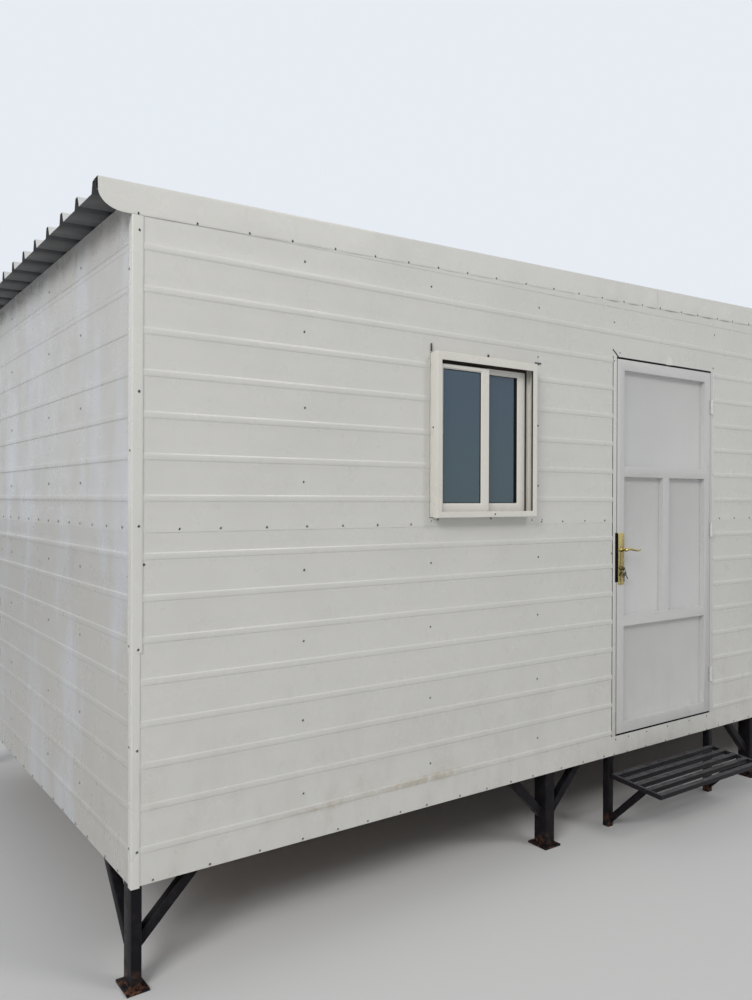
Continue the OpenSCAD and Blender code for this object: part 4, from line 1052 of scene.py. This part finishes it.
def door_leaf():
    """The leaf: one welded frame, its fields pressed back from both sides, all edges softly rounded."""
    shape = bmesh.new()
    box(shape, (LEAF_X0, LEAF_Y0, LEAF_Z0), (LEAF_X1, LEAF_Y0 + LEAF_T, LEAF_Z1))
    fields = door_fields()
    for x in sorted({edge for field in fields for edge in field[:2]}):
        cut_along(shape, (x, 0.0, 0.0), ALONG_X)
    for z in sorted({edge for field in fields for edge in field[2:]}):
        cut_along(shape, (0.0, 0.0, z), UPWARD)
    for field in fields:
        for facing, deep in ((-1.0, PANEL_BACK), (1.0, PANEL_BACK + PANEL_T - LEAF_T)):
            inside = [face for face in faces_within(shape, *field) if face.normal.y * facing > 0.9]
            made = bmesh.ops.extrude_face_region(shape, geom=inside)
            bmesh.ops.delete(shape, geom=inside, context="FACES")
            bmesh.ops.translate(shape, vec=(0.0, deep, 0.0), verts=new_verts(made))
    bmesh.ops.recalc_face_normals(shape, faces=shape.faces)
    put_in_order(shape)
    bmesh.ops.dissolve_limit(shape, angle_limit=math.radians(1.0), verts=shape.verts, edges=shape.edges)
    put_in_order(shape)
    soften(shape, shape.edges[:], 0.0014, clamp=True)
    piece("panelled_door_leaf", shape, DOOR, body="door",
          instead_of=("door_leaf_frame", "door_panels"))


SPINDLE = Vector((LEAF_X0 + 0.030, LEAF_Y0, LEAF_Z0 + 1.000))
LOCK_W, LOCK_H, LOCK_T = 0.050, 0.282, 0.004
LOCK_FACE = LEAF_Y0 - LOCK_T
LOCK_TOP = SPINDLE.z + 0.091
LOCK_LOW = LOCK_TOP - LOCK_H
CYLINDER_Z = SPINDLE.z - 0.102
# Screws of the lock plate, as (off the middle, height above the spindle)
LOCK_SCREWS = ((0.0, 0.050), (0.0, -0.064), (-0.012, -0.180), (0.012, -0.180))
LOZENGE_ROWS, LOZENGE_ROW_H, LOZENGE_W = 5, 0.0055, 0.0070


def both_faces(draw):
    """Draws something on the leaf's outside and mirrors it to the inside."""
    shape = bmesh.new()
    middle = LEAF_Y0 + LEAF_T / 2
    for side in (1.0, -1.0):
        part = bmesh.new()
        draw(part)
        flip = Matrix.Translation((0.0, middle, 0.0)) @ Matrix.Diagonal((1.0, side, 1.0, 1.0))
        merge(shape, part, flip @ Matrix.Translation((0.0, -middle, 0.0)))
    return shape


def lock_plate(shape):
    """Pressed brass plate with soft edges, a raised lozenge pattern above and screws."""
    x, z = SPINDLE.x, SPINDLE.z
    edges = box(shape, (x - LOCK_W / 2, LOCK_FACE, LOCK_LOW), (x + LOCK_W / 2, LEAF_Y0, LOCK_TOP))
    across = [edge for edge in edges if abs(edge.verts[0].co.y - edge.verts[1].co.y) > 0.002]
    soften(shape, across, 0.010, 6)
    rim = [edge for edge in shape.edges if all(v.co.y < LOCK_FACE + 0.0002 for v in edge.verts)]
    soften(shape, rim, 0.0014, 3)
    for row in range(LOZENGE_ROWS):
        for column in range(4 - row % 2):
            off = (column - (3 - row % 2) / 2) * LOZENGE_W
            at = Matrix.Translation((x + off, LOCK_FACE + 0.0006, z + 0.080 - row * LOZENGE_ROW_H))
            cone(shape, at @ UPRIGHT, 0.0030, 0.0006, 0.0020, 4)
    for off, up in LOCK_SCREWS:
        at = Matrix.Translation((x + off, LOCK_FACE + 0.0002, z + up))
        bmesh.ops.create_uvsphere(shape, u_segments=12, v_segments=8, radius=0.0036,
                                  matrix=at @ Matrix.Diagonal((1.0, 0.42, 1.0, 1.0)))


def lock_plate_painted_shade_lines(shape):
    """Dark brass strips that paint the shade beside the raised field and round the cylinder."""
    x = SPINDLE.x
    box(shape, (x - 0.0085, LOCK_FACE - 0.0005, LOCK_LOW + 0.006),
        (x - 0.0066, LOCK_FACE + 0.001, SPINDLE.z + 0.018))
    cone(shape, Matrix.Translation((x, LOCK_FACE - 0.0001, CYLINDER_Z)) @ UPRIGHT, 0.0125, 0.0125, 0.0010, 20)


def lock_plates():
    shape = both_faces(lock_plate_painted_shade_lines)
    # All faces take BRASS's dark second colour, as painted shade
    mark_back_coat_and_painted_shade(shape, lambda face: True)
    piece("lock_plate_painted_shade_lines", shape, BRASS, body="door")
    piece("pressed_lock_plates", both_faces(lock_plate), BRASS, body="door",
          instead_of=("lock_plates",))


NECK_RADII = (0.0125, 0.0125, 0.0089, 0.0088, 0.0080, 0.0078, 0.0078, 0.0080, 0.0086, 0.0089, 0.0088, 0.0076,
              0.0045)
NECK_REACH, LEVER_REACH, LEVER_OUT = 0.044, 0.1315, 0.033
LEVER_STEPS = 32


def lever(shape):
    """Neck with a collar, and a lever that waves like a lying S and thins towards its rounded tip."""
    foot = LOCK_FACE + 0.001
    neck = [Vector((SPINDLE.x, foot - NECK_REACH * i / 12, SPINDLE.z)) for i in range(13)]
    tube_along(shape, neck, NECK_RADII, sides=18, across=UPWARD)
    path, thick = [], []
    for i in range(LEVER_STEPS + 1):
        u = i / LEVER_STEPS
        wave = 0.0068 * math.sin(2 * math.pi * u) * (0.35 + 0.65 * u)
        path.append(Vector((SPINDLE.x - 0.004 + LEVER_REACH * u, LOCK_FACE - LEVER_OUT, SPINDLE.z + wave)))
        thick.append(0.0070 - 0.0026 * u + 0.0012 * math.sin(math.pi * u) ** 2)
    thick[0] = thick[-1] = 0.0028
    tube_along(shape, path, thick, sides=14, flatten=0.62)


def lever_handles():
    shape = both_faces(lever)
    # Downward faces of the levers take BRASS's dark second colour: painted shade under the levers
    mark_back_coat_and_painted_shade(shape, lambda face: face.normal.z < -0.35)
    piece("waved_lever_handles", shape, BRASS, body="lever", instead_of=("lever_handles",),
          crease=50.0)


def key_disc(shape, place):
    """The round bow of a key with its hole, in the XZ plane of its place."""
    edges = []
    for radius, up in ((0.0108, 0.0), (0.0030, 0.005)):
        matrix = place @ Matrix.Translation((0.0, 0.0, up)) @ UPRIGHT
        ring = bmesh.ops.create_circle(shape, segments=22, radius=radius, matrix=matrix)["verts"]
        edges += {edge for v in ring for edge in v.link_edges}
    faces = bmesh.ops.bridge_loops(shape, edges=edges)["faces"]
    made = bmesh.ops.extrude_face_region(shape, geom=faces)
    bmesh.ops.translate(shape, vec=place.to_3x3() @ Vector((0.0, 0.0018, 0.0)), verts=new_verts(made))


def lock_cylinder():
    shape = bmesh.new()
    barrel = [Vector((SPINDLE.x, LOCK_FACE + 0.004 - 0.007 * i / 4, CYLINDER_Z)) for i in range(5)]
    tube_along(shape, barrel, (0.0080, 0.0081, 0.0081, 0.0080, 0.0070), sides=20, across=UPWARD)
    piece("brass_cylinder", shape, BRASS, body="door", instead_of=("lock_cylinder",),
          crease=50.0)


KEY_RING_R, KEY_RING_WIRE = 0.0120, 0.0008
# Keys that hang from the ring, as (off its middle, out, down, lean)
HUNG_KEYS = ((-0.0020, -0.0012, 0.0170, 0.02), (0.0110, 0.0012, 0.0110, 0.62))


def keys_on_ring():
    """The key in its cylinder, a ring of two turns and two hanging keys."""
    shape = bmesh.new()
    x, front, z = SPINDLE.x, LOCK_FACE - 0.003, CYLINDER_Z
    bow = Vector((x, front - 0.011, z))
    key_disc(shape, Matrix.Translation(bow) @ Matrix.Rotation(math.pi / 2, 4, "Z"))
    box(shape, (x - 0.0009, front - 0.004, z - 0.0034), (x + 0.0009, front, z + 0.0034), 0.0003)
    ring_middle = bow + Vector((0.0060, 0.0, -0.0175))
    for lift in (-0.0007, 0.0007):
        turns = [2 * math.pi * i / 28 for i in range(29)]
        loop = [ring_middle + Vector((KEY_RING_R * math.sin(turn), lift, KEY_RING_R * math.cos(turn)))
                for turn in turns]
        tube_along(shape, loop, [KEY_RING_WIRE] * len(loop), sides=6)
    for off, out, down, lean in HUNG_KEYS:
        key = bmesh.new()
        key_disc(key, Matrix())
        box(key, (-0.0030, -0.0009, -0.036), (0.0030, 0.0009, -0.008), 0.0003)
        hang = Matrix.Translation(ring_middle + Vector((off, out, -down)))
        merge(shape, key, hang @ Matrix.Rotation(-lean, 4, "Y"))
    piece("keys_on_ring", shape, DULL_STEEL, body="door", instead_of=("key_bunch",), crease=50.0)


# Windows, in the front wall's measures
FRAME_OUT, FRAME_IN = 0.055, 0.060
LIP, LIP_TOP, LIP_T, WEB = 0.028, 0.037, 0.003, 0.005
TRACK_H, TRACK_T, TRACK_PITCH, TRACK_FIRST = 0.012, 0.002, 0.026, 0.004
SASH_W, SASH_RAIL, SASH_T = 0.048, 0.058, 0.022
SASH_PLAY, SASH_OVERLAP = 0.001, 0.028
SASH_L = (WINDOW_W - 2 * WEB - 2 * SASH_PLAY + SASH_OVERLAP) / 2
SASH_Z0, SASH_Z1 = WINDOW_LOW + 0.007, WINDOW_HIGH - 0.013
PANE_Z0, PANE_Z1 = SASH_Z0 + SASH_RAIL, SASH_Z1 - SASH_RAIL
INNER_SASH_OPEN = 0.035
# The outer sash's upper rail has a narrow face: above it the sash steps back, in the dark under the lip
SASH_TOP_FACE, SASH_STEP = 0.0205, 0.0165


def ring_sweep(shape, line, x0, x1, z0, z1):
    """Carries a cross section round a rectangle with mitred corners. line holds (inset, y) points and closes;
    an inset is one number, or three for the sides, the bottom and the top."""
    verts = [shape.verts.new((x, 0.0, z)) for x, z in ((x0, z0), (x1, z0), (x1, z1), (x0, z1))]
    edges = [shape.edges.new(pair) for pair in zip(verts, verts[1:] + verts[:1])]
    for step, (inset, y) in enumerate(line + line[:1]):
        if step > 0:
            made = bmesh.ops.extrude_edge_only(shape, edges=edges)
            verts = new_verts(made)
            edges = [part for part in made["geom"]
                     if isinstance(part, bmesh.types.BMEdge) and all(v in verts for v in part.verts)]
        side, low, high = inset if isinstance(inset, tuple) else (inset, inset, inset)
        for v in verts:
            v.co = Vector((x0 + side if v.co.x < (x0 + x1) / 2 else x1 - side, y,
                           z0 + low if v.co.z < (z0 + z1) / 2 else z1 - high))


def track_y(i):
    return -FRAME_OUT + TRACK_FIRST + i * TRACK_PITCH


def sash_y(i):
    """Front of the sash that rides on a track: its rail lies in the middle of the sash."""
    return track_y(i) + (TRACK_T - SASH_T) / 2


def sash_lefts(x):
    """Left ends of the outer and inner sash."""
    return x + WEB + SASH_PLAY, x + WINDOW_W - WEB - SASH_PLAY - INNER_SASH_OPEN - SASH_L


def window_frame(name, x, node):
    """Coated channel frame: a lip with a rolled inner edge, two running rails, and a flange at the wall."""
    def lip(less):
        return LIP - less, LIP - less, LIP_TOP - less

    front, inner, worn = -FRAME_OUT, WEB + TRACK_H, 0.0006
    line = [(0.0030, -0.0300), (0.0030, -0.0295), (0.0, -0.0280), (0.0, front + 0.0014), (0.0014, front),
            (lip(0.0030), front), (lip(0.0008), front + 0.0010), (lip(0.0), front + 0.0030),
            (lip(0.0020), front + 0.0036), (lip(0.0026), front + LIP_T), (WEB, front + LIP_T)]
    for i in (1, 2):
        near, far = track_y(i), track_y(i) + TRACK_T
        line += [(WEB, near), (inner - worn, near), (inner, near + worn), (inner, far - worn),
                 (inner - worn, far), (WEB, far)]
    line += [(WEB, FRAME_IN - LIP_T), (LIP, FRAME_IN - LIP_T), (LIP, FRAME_IN), (0.0030, FRAME_IN)]
    shape = bmesh.new()
    ring_sweep(shape, line, x, x + WINDOW_W, WINDOW_LOW, WINDOW_HIGH)
    piece(name, shape, FRAME_CREAM, instead_of=(node,), crease=40.0)


def window_sashes(name, x, node):
    """Two glazed frames with rounded arrises; the bead steps down to the glass."""
    def clear(less, rail=SASH_RAIL):
        return SASH_W - less, SASH_RAIL - less, rail - less

    shape = bmesh.new()
    for i, left, top_face in zip((1, 2), sash_lefts(x), (SASH_TOP_FACE, SASH_RAIL)):
        y0, y1, step, worn = sash_y(i), sash_y(i) + SASH_T, sash_y(i) + SASH_STEP, 0.0012
        face = [(0.0, y0 + worn), (worn, y0)]
        face += [(clear(less, top_face), y0 + deep)
                 for less, deep in ((0.0070, 0.0), (0.0050, 0.0016), (0.0016, 0.0046), (0.0, 0.0056))]
        face += [(clear(0.0, top_face), step), (0.0, step)]
        ring_sweep(shape, face, left, left + SASH_L, SASH_Z0, PANE_Z1 + top_face)
        body = [(0.0, step), (clear(0.0), step), (clear(0.0), y1 - worn), (clear(worn), y1), (worn, y1),
                (0.0, y1 - worn)]
        ring_sweep(shape, body, left, left + SASH_L, SASH_Z0, SASH_Z1)
    piece(name, shape, FRAME_CREAM, instead_of=(node,), crease=40.0)


def glass_seals(name, x):
    """Black rubber round each pane, and a wide black strip along the inner sash's free edge that paints the
    shade of the stile's inner side.
    """
    shape = bmesh.new()
    under = 0.0006
    for i, left in enumerate(sash_lefts(x), 1):
        y = sash_y(i) + 0.0062
        line = [(0.0, y), (0.0012, y - 0.0006), (0.0032, y - 0.0002), (0.0036, y + 0.0016), (0.0, y + 0.0030)]
        pane_left, pane_right = left + SASH_W, left + SASH_L - SASH_W
        ring_sweep(shape, line, pane_left - under, pane_right + under, PANE_Z0 - under, PANE_Z1 + under)
    # The last pane is the inner sash's; the wide black strip at its free edge is painted shade
    box(shape, (pane_right - 0.0180, y - 0.0004, PANE_Z0), (pane_right, y + 0.0030, PANE_Z1), 0.0005)
    piece(name, shape, RUBBER, crease=50.0)


def brush_strips(name, x):
    """Pile strips under the head of the channel, down its right-hand side and beside the inner sash; their
    dark colour also paints the shade under the lip and in the channel.
    """
    shape = bmesh.new()
    outer_left = sash_lefts(x)[0] + 0.002
    outer_right, inner_right = (left + SASH_L for left in sash_lefts(x))
    inner_front = sash_y(2)
    for y, left, right, low in ((sash_y(1) + SASH_STEP, outer_left, outer_right - 0.001, 0.0505),
                                (inner_front, outer_right + 0.001, inner_right - 0.001, 0.0440)):
        box(shape, (left, y - 0.0012, WINDOW_HIGH - low), (right, y, WINDOW_HIGH - LIP))
    web, track = x + WINDOW_W - WEB, track_y(1)
    box(shape, (web - 0.0050, track - 0.0100, WINDOW_LOW + 0.012), (web, track - 0.0010, WINDOW_HIGH - 0.012))
    box(shape, (inner_right, inner_front + 0.0060, SASH_Z0 + 0.002),
        (inner_right + 0.0090, inner_front + 0.0150, SASH_Z1 - 0.002))
    piece(name, shape, BRUSH_AND_PAINTED_SHADE)


# Fixings of a window, from its lower left corner: screws, a screw in its lip, and pins and a bracket as
# (x, z, width, height, out)
WINDOW_SCREWS = ((0.009, -0.014), (0.050, -0.010), (0.378, -0.007), (0.656, -0.018), (0.727, -0.019),
                 (0.694, 0.794))
LIP_SCREW = (0.353, 0.014)
WINDOW_PINS = ((0.0035, 0.749, 0.0040, 0.036, 0.008), (0.352, 0.757, 0.0040, 0.012, 0.009),
               (0.672, 0.758, 0.0400, 0.007, 0.005))


def window_fixings():
    """Screws, bent nails and a bracket that hold the frames to the wall sheets. Returns the screws' spots."""
    spots = []
    shape = bmesh.new()
    for left in WINDOW_LEFTS:
        spots += [(FRONT_WALL, left + x, 0.0, WINDOW_LOW + z) for x, z in WINDOW_SCREWS]
        spots.append((FRONT_WALL, left + LIP_SCREW[0], FRAME_OUT, WINDOW_LOW + LIP_SCREW[1]))
        for x, z, w, h, out in WINDOW_PINS:
            x, z = left + x, WINDOW_LOW + z
            box(shape, (x, -out, z), (x + w, 0.0005, z + h), 0.0009)
        side = Matrix.Translation((left - 0.0004, -0.024, WINDOW_LOW + 0.405))
        cone(shape, side @ Matrix.Rotation(-math.pi / 2, 4, "Y"), 0.0050, 0.0036, 0.0014)
    piece("window_fixing_nails", shape, DULL_STEEL)
    return spots


# Edges of the door frame round the leaf
POST_EDGE, HEAD_EDGE = LEAF_X0 - LEAF_GAP, LEAF_Z1 + LEAF_GAP
STRIP_LOW = 0.102
BEHIND_LOCK = SPINDLE.z - 0.176


def rubber_bars(ends, worn):
    """Bars between pairs of corners."""
    shape = bmesh.new()
    for low, high in ends:
        box(shape, low, high, worn)
    return shape


def door_seals_and_gap_shade():
    """Rubber round the leaf's free edges and behind the lock; in the frame's rebate, along the post, under
    the leaf and in the strike; and the split at the frame's corner. The black bars also paint the shade in
    the gaps round the leaf, in the strike and in the split."""
    y0, y1, thick = LEAF_Y0 + 0.0050, LEAF_Y0 + 0.0240, 0.0022
    on_leaf = (((LEAF_X0 - thick, y0, LEAF_Z0), (LEAF_X0, y1, LEAF_Z1)),
               ((LEAF_X0, y0, LEAF_Z0 - thick), (LEAF_X1, y1, LEAF_Z0)),
               ((LEAF_X0 - 0.0006, LEAF_Y0 - 0.0008, BEHIND_LOCK), (LEAF_X0 + 0.0052, y0, LOCK_TOP)))
    piece("leaf_edge_seals_and_gap_shade", rubber_bars(on_leaf, 0.0006), RUBBER, body="door")
    right = LEAF_X1 + 0.004
    on_frame = (((POST_EDGE, 0.0030, LEAF_Z0), (POST_EDGE + 0.0035, 0.0200, HEAD_EDGE)),
                ((POST_EDGE, -0.0016, HEAD_EDGE - 0.0072), (right, 0.0200, HEAD_EDGE + 0.0030)),
                ((DOORWAY[0] - 0.0005, -0.0009, STRIP_LOW), (DOORWAY[0] + 0.0040, 0.0010, HEAD_EDGE + 0.002)),
                ((POST_EDGE, -0.0008, LEAF_Z0 - 0.0095), (right, 0.0150, LEAF_Z0 - 0.0030)),
                ((POST_EDGE - 0.0105, -0.0019, BEHIND_LOCK), (POST_EDGE + 0.0004, 0.0060, SPINDLE.z + 0.092)))
    shape = rubber_bars(on_frame, 0.0005)
    split = Matrix.Translation((DOORWAY[0] + 0.021, -0.0005, LEAF_Z1 + 0.029)) @ Matrix.Rotation(0.66, 4, "Y")
    box(shape, (-0.029, -0.0016, -0.0032), (0.029, 0.0010, 0.0032), 0.0008, place=split)
    piece("door_frame_seals_and_gap_shade", shape, RUBBER)


# The dent in the plate over the door: a ridge that starts at DENT_X and leans, and a hollow before it
DENT_X, DENT_OUT, DENT_FALL = 3.096, 0.0125, 0.014
HOLLOW_X, HOLLOW_UP, HOLLOW_REACH, HOLLOW_DEPTH = 3.066, 0.020, 0.040, 0.0015
# Rivets round the door, as (out, places along the wall, heights)
DOOR_RIVETS = ((0.0, (DOORWAY[0] - 0.006,), (0.567, 1.014, 1.094, 1.530)),
               (0.0008, (LEAF_X1 + 0.030,), (0.570, 1.022, 1.133, 1.533, 2.179)),
               (0.0, (2.665, 2.775, 2.934, 3.127, 3.336, 3.515), (0.084,)),
               (0.0, (2.653, 2.762, 2.926, 3.108, 3.336, 3.514), (0.004,)),
               (0.0009, (2.640,), (2.341,)), (0.0, (3.579,), (2.382,)),
               (0.0006, (2.688,), (2.180,)), (0.0015, (2.640,), (2.132,)))


def dent_ridge(along, rise):
    """A dent's ridge from 0 to 1: a long slope up, then a steep one down."""
    if along <= 0.0:
        return 0.0
    return along / rise if along < rise else max(0.0, 1.0 - (along - rise) / DENT_FALL)


def door_surround():
    """Folded strips over the door posts and the dented plate above the leaf. Returns the rivets' spots."""
    shape = bmesh.new()
    for x0, x1 in ((DOORWAY[0], POST_EDGE), (LEAF_X1 + 0.022, DOORWAY[1])):
        box(shape, (x0 + 0.0032, -0.0015, STRIP_LOW), (x1, 0.0002, HEAD_EDGE), 0.0006)
    part = bmesh.new()
    plate_h = HEAD_TOP + 0.012 - HEAD_EDGE
    swept(part, [(DOORWAY[0], -0.0006, HEAD_EDGE + plate_h * i / 10) for i in range(11)],
          (DOORWAY[1] - DOORWAY[0], 0.0, 0.0), 190)
    for v in part.verts:
        up = (v.co.z - HEAD_EDGE) / plate_h
        ridge = dent_ridge(v.co.x - DENT_X - 0.024 * up, 0.056 * (1.0 - 0.6 * up))
        v.co.y -= DENT_OUT * (1.0 - 0.8 * up) * ridge
        v.co.y += HOLLOW_DEPTH * dimple(v.co.x, v.co.z, HOLLOW_X, HEAD_EDGE + HOLLOW_UP, HOLLOW_REACH)
    fold_rim(part, SHEET_FOLD)
    merge(shape, part)
    piece("door_surround_strips", shape, SHEET, instead_of=("jamb_trims",))
    return [(FRONT_WALL, x, out, z) for out, xs, zs in DOOR_RIVETS for x in xs for z in zs]


# Buckles and puffs of the front sheets, as (along, up, reach, depth)
LEFT_BUCKLES = ((2.164, 2.37, 0.10, 0.0007), (2.402, 2.355, 0.060, -0.0030), (2.497, 2.360, 0.050, -0.0026),
                (2.084, 2.20, 0.16, 0.0008))
OVER_DOOR_BUCKLES = ((2.670, 2.355, 0.050, -0.0030), (2.790, 2.345, 0.060, -0.0036),
                     (3.034, 2.32, 0.09, 0.0009), (3.150, 2.214, 0.032, -0.0034))


def clad_walls():
    left_hole, right_hole = ((left, left + WINDOW_W, WINDOW_LOW, WINDOW_HIGH) for left in WINDOW_LEFTS)
    wall_sheets("front_cladding_left", FRONT_WALL, 0.0, DOORWAY[0], "front_sheets_left", 1, hole=left_hole,
                dents=LEFT_BUCKLES)
    wall_sheets("front_cladding_right", FRONT_WALL, DOORWAY[1], LENGTH, "front_sheets_right", 2,
                hole=right_hole)
    wall_sheets("cladding_over_door", FRONT_WALL, DOORWAY[0], DOORWAY[1], "sheet_over_door", 5,
                start=HEAD_TOP, dents=OVER_DOOR_BUCKLES)
    wall_sheets("rear_cladding", REAR_WALL, 0.0, LENGTH, "rear_sheets", 3, spacing=0.06, wave=0.0009)
    for side, wall, seed in (("left", LEFT_END, 4), ("right", RIGHT_END, 6)):
        wall_sheets(side + "_end_cladding", wall, 0.0, DEPTH, side + "_end_sheets", seed, spacing=0.03,
                    wave=0.0014, finish=END_SHEET_PAINTED_SHADE_AND_REFLECTIONS)


random.seed(7)
clad_walls()
spots = wall_spots() + corner_trims() + fascias() + window_fixings() + door_surround()
infill_strips()
roof_sheet()
rib_fillers()
roof_screws()
rivets(spots)
leg_row("welded_front_legs", LEG_YS[0], "front_legs")
leg_row("welded_rear_legs", LEG_YS[1], "rear_legs")
knee_braces()
door_step()
step_posts()
door_leaf()
door_seals_and_gap_shade()
lock_plates()
lever_handles()
lock_cylinder()
keys_on_ring()
for side, x in zip(("left", "right"), WINDOW_LEFTS):
    window_frame(side + "_channel_frame", x, side + "_window_frame")
    window_sashes(side + "_glazed_sashes", x, side + "_window_sashes")
    glass_seals(side + "_glass_seals", x)
    brush_strips(side + "_brush_strips", x)


# The photograph's viewpoint, placed from the front left corner, and how the camera was held
VIEWPOINT = wall_point(-1.008, 2.888, 1.387)
YAW, PITCH, ROLL = math.radians(35.629), math.radians(-0.125), math.radians(0.197)
FOCAL_PX, LONG_SIDE_PX, SENSOR_MM = 828.5, 1000.0, 36.0


def take_picture():
    """A camera at the photograph's viewpoint, turned and levelled as the camera was."""
    forward = Vector((math.sin(YAW) * math.cos(PITCH), math.cos(YAW) * math.cos(PITCH), math.sin(PITCH)))
    level = Vector((math.cos(YAW), -math.sin(YAW), 0.0))
    upright = level.cross(forward)
    across = math.cos(ROLL) * level + math.sin(ROLL) * upright
    above = -math.sin(ROLL) * level + math.cos(ROLL) * upright
    camera = bpy.data.objects.new("camera", bpy.data.cameras.new("camera"))
    camera.data.sensor_width = SENSOR_MM
    camera.data.lens = FOCAL_PX * SENSOR_MM / LONG_SIDE_PX
    camera.data.clip_end = 200.0
    turn = Matrix((across, above, -forward)).transposed()
    camera.matrix_world = Matrix.Translation(VIEWPOINT) @ turn.to_4x4()
    scene.collection.objects.link(camera)
    scene.camera = camera


def lamp(name, place, size, watts, colour=(1.0, 1.0, 1.0)):
    light = bpy.data.objects.new(name, bpy.data.lights.new(name, "AREA"))
    light.data.shape = "SQUARE"
    light.data.size = size
    light.data.energy = watts
    light.data.color = colour
    light.location = place
    light.rotation_euler = (CENTRE - Vector(place)).to_track_quat("-Z", "Y").to_euler()
    scene.collection.objects.link(light)


def pale_sky():
    """Soft light all round; what the camera, gloss and glass see of it is paler than its light."""
    world = bpy.data.worlds.new("studio_sky")
    world.use_nodes = True
    tree = world.node_tree
    light = tree.nodes["Background"]
    seen = tree.nodes.new("ShaderNodeBackground")
    for background, colour, strength in ((light, (0.94, 0.96, 1.0), 0.38), (seen, (0.80, 0.84, 0.90), 1.0)):
        background.inputs["Color"].default_value = (*colour, 1.0)
        background.inputs["Strength"].default_value = strength
    path = tree.nodes.new("ShaderNodeLightPath")
    share = path.outputs["Is Camera Ray"]
    for ray in ("Is Glossy Ray", "Is Transmission Ray"):
        either = tree.nodes.new("ShaderNodeMath")
        either.operation = "MAXIMUM"
        tree.links.new(share, either.inputs[0])
        tree.links.new(path.outputs[ray], either.inputs[1])
        share = either.outputs[0]
    mixed = tree.nodes.new("ShaderNodeMixShader")
    for index, output in enumerate((share, light.outputs[0], seen.outputs[0])):
        tree.links.new(output, mixed.inputs[index])
    tree.links.new(mixed.outputs[0], tree.nodes["World Output"].inputs["Surface"])
    return world


def studio():
    """A pale floor, a pale sky and large soft lamps."""
    ground = bmesh.new()
    bmesh.ops.create_grid(ground, x_segments=1, y_segments=1, size=60.0)
    floor = bpy.data.objects.new("studio_floor", mesh_of(ground, "studio_floor"))
    scene.collection.objects.link(floor)
    floor.location = (0.0, 0.0, cad_box[0][2] - 0.0005)
    floor.data.materials.append(Finish("studio_floor_paint", (0.70, 0.70, 0.70), 0.8).material)
    scene.world = pale_sky()
    lamp("left_key", (-11.0, -7.0, 8.0), 4.5, 700.0, (1.0, 0.99, 0.97))
    lamp("front_key", (3.5, -10.0, 9.5), 3.5, 310.0, (1.0, 0.98, 0.94))
    lamp("rear_fill", (3.0, 9.5, 8.0), 6.0, 260.0)


scene.view_settings.view_transform = "Standard"
take_picture()
studio()
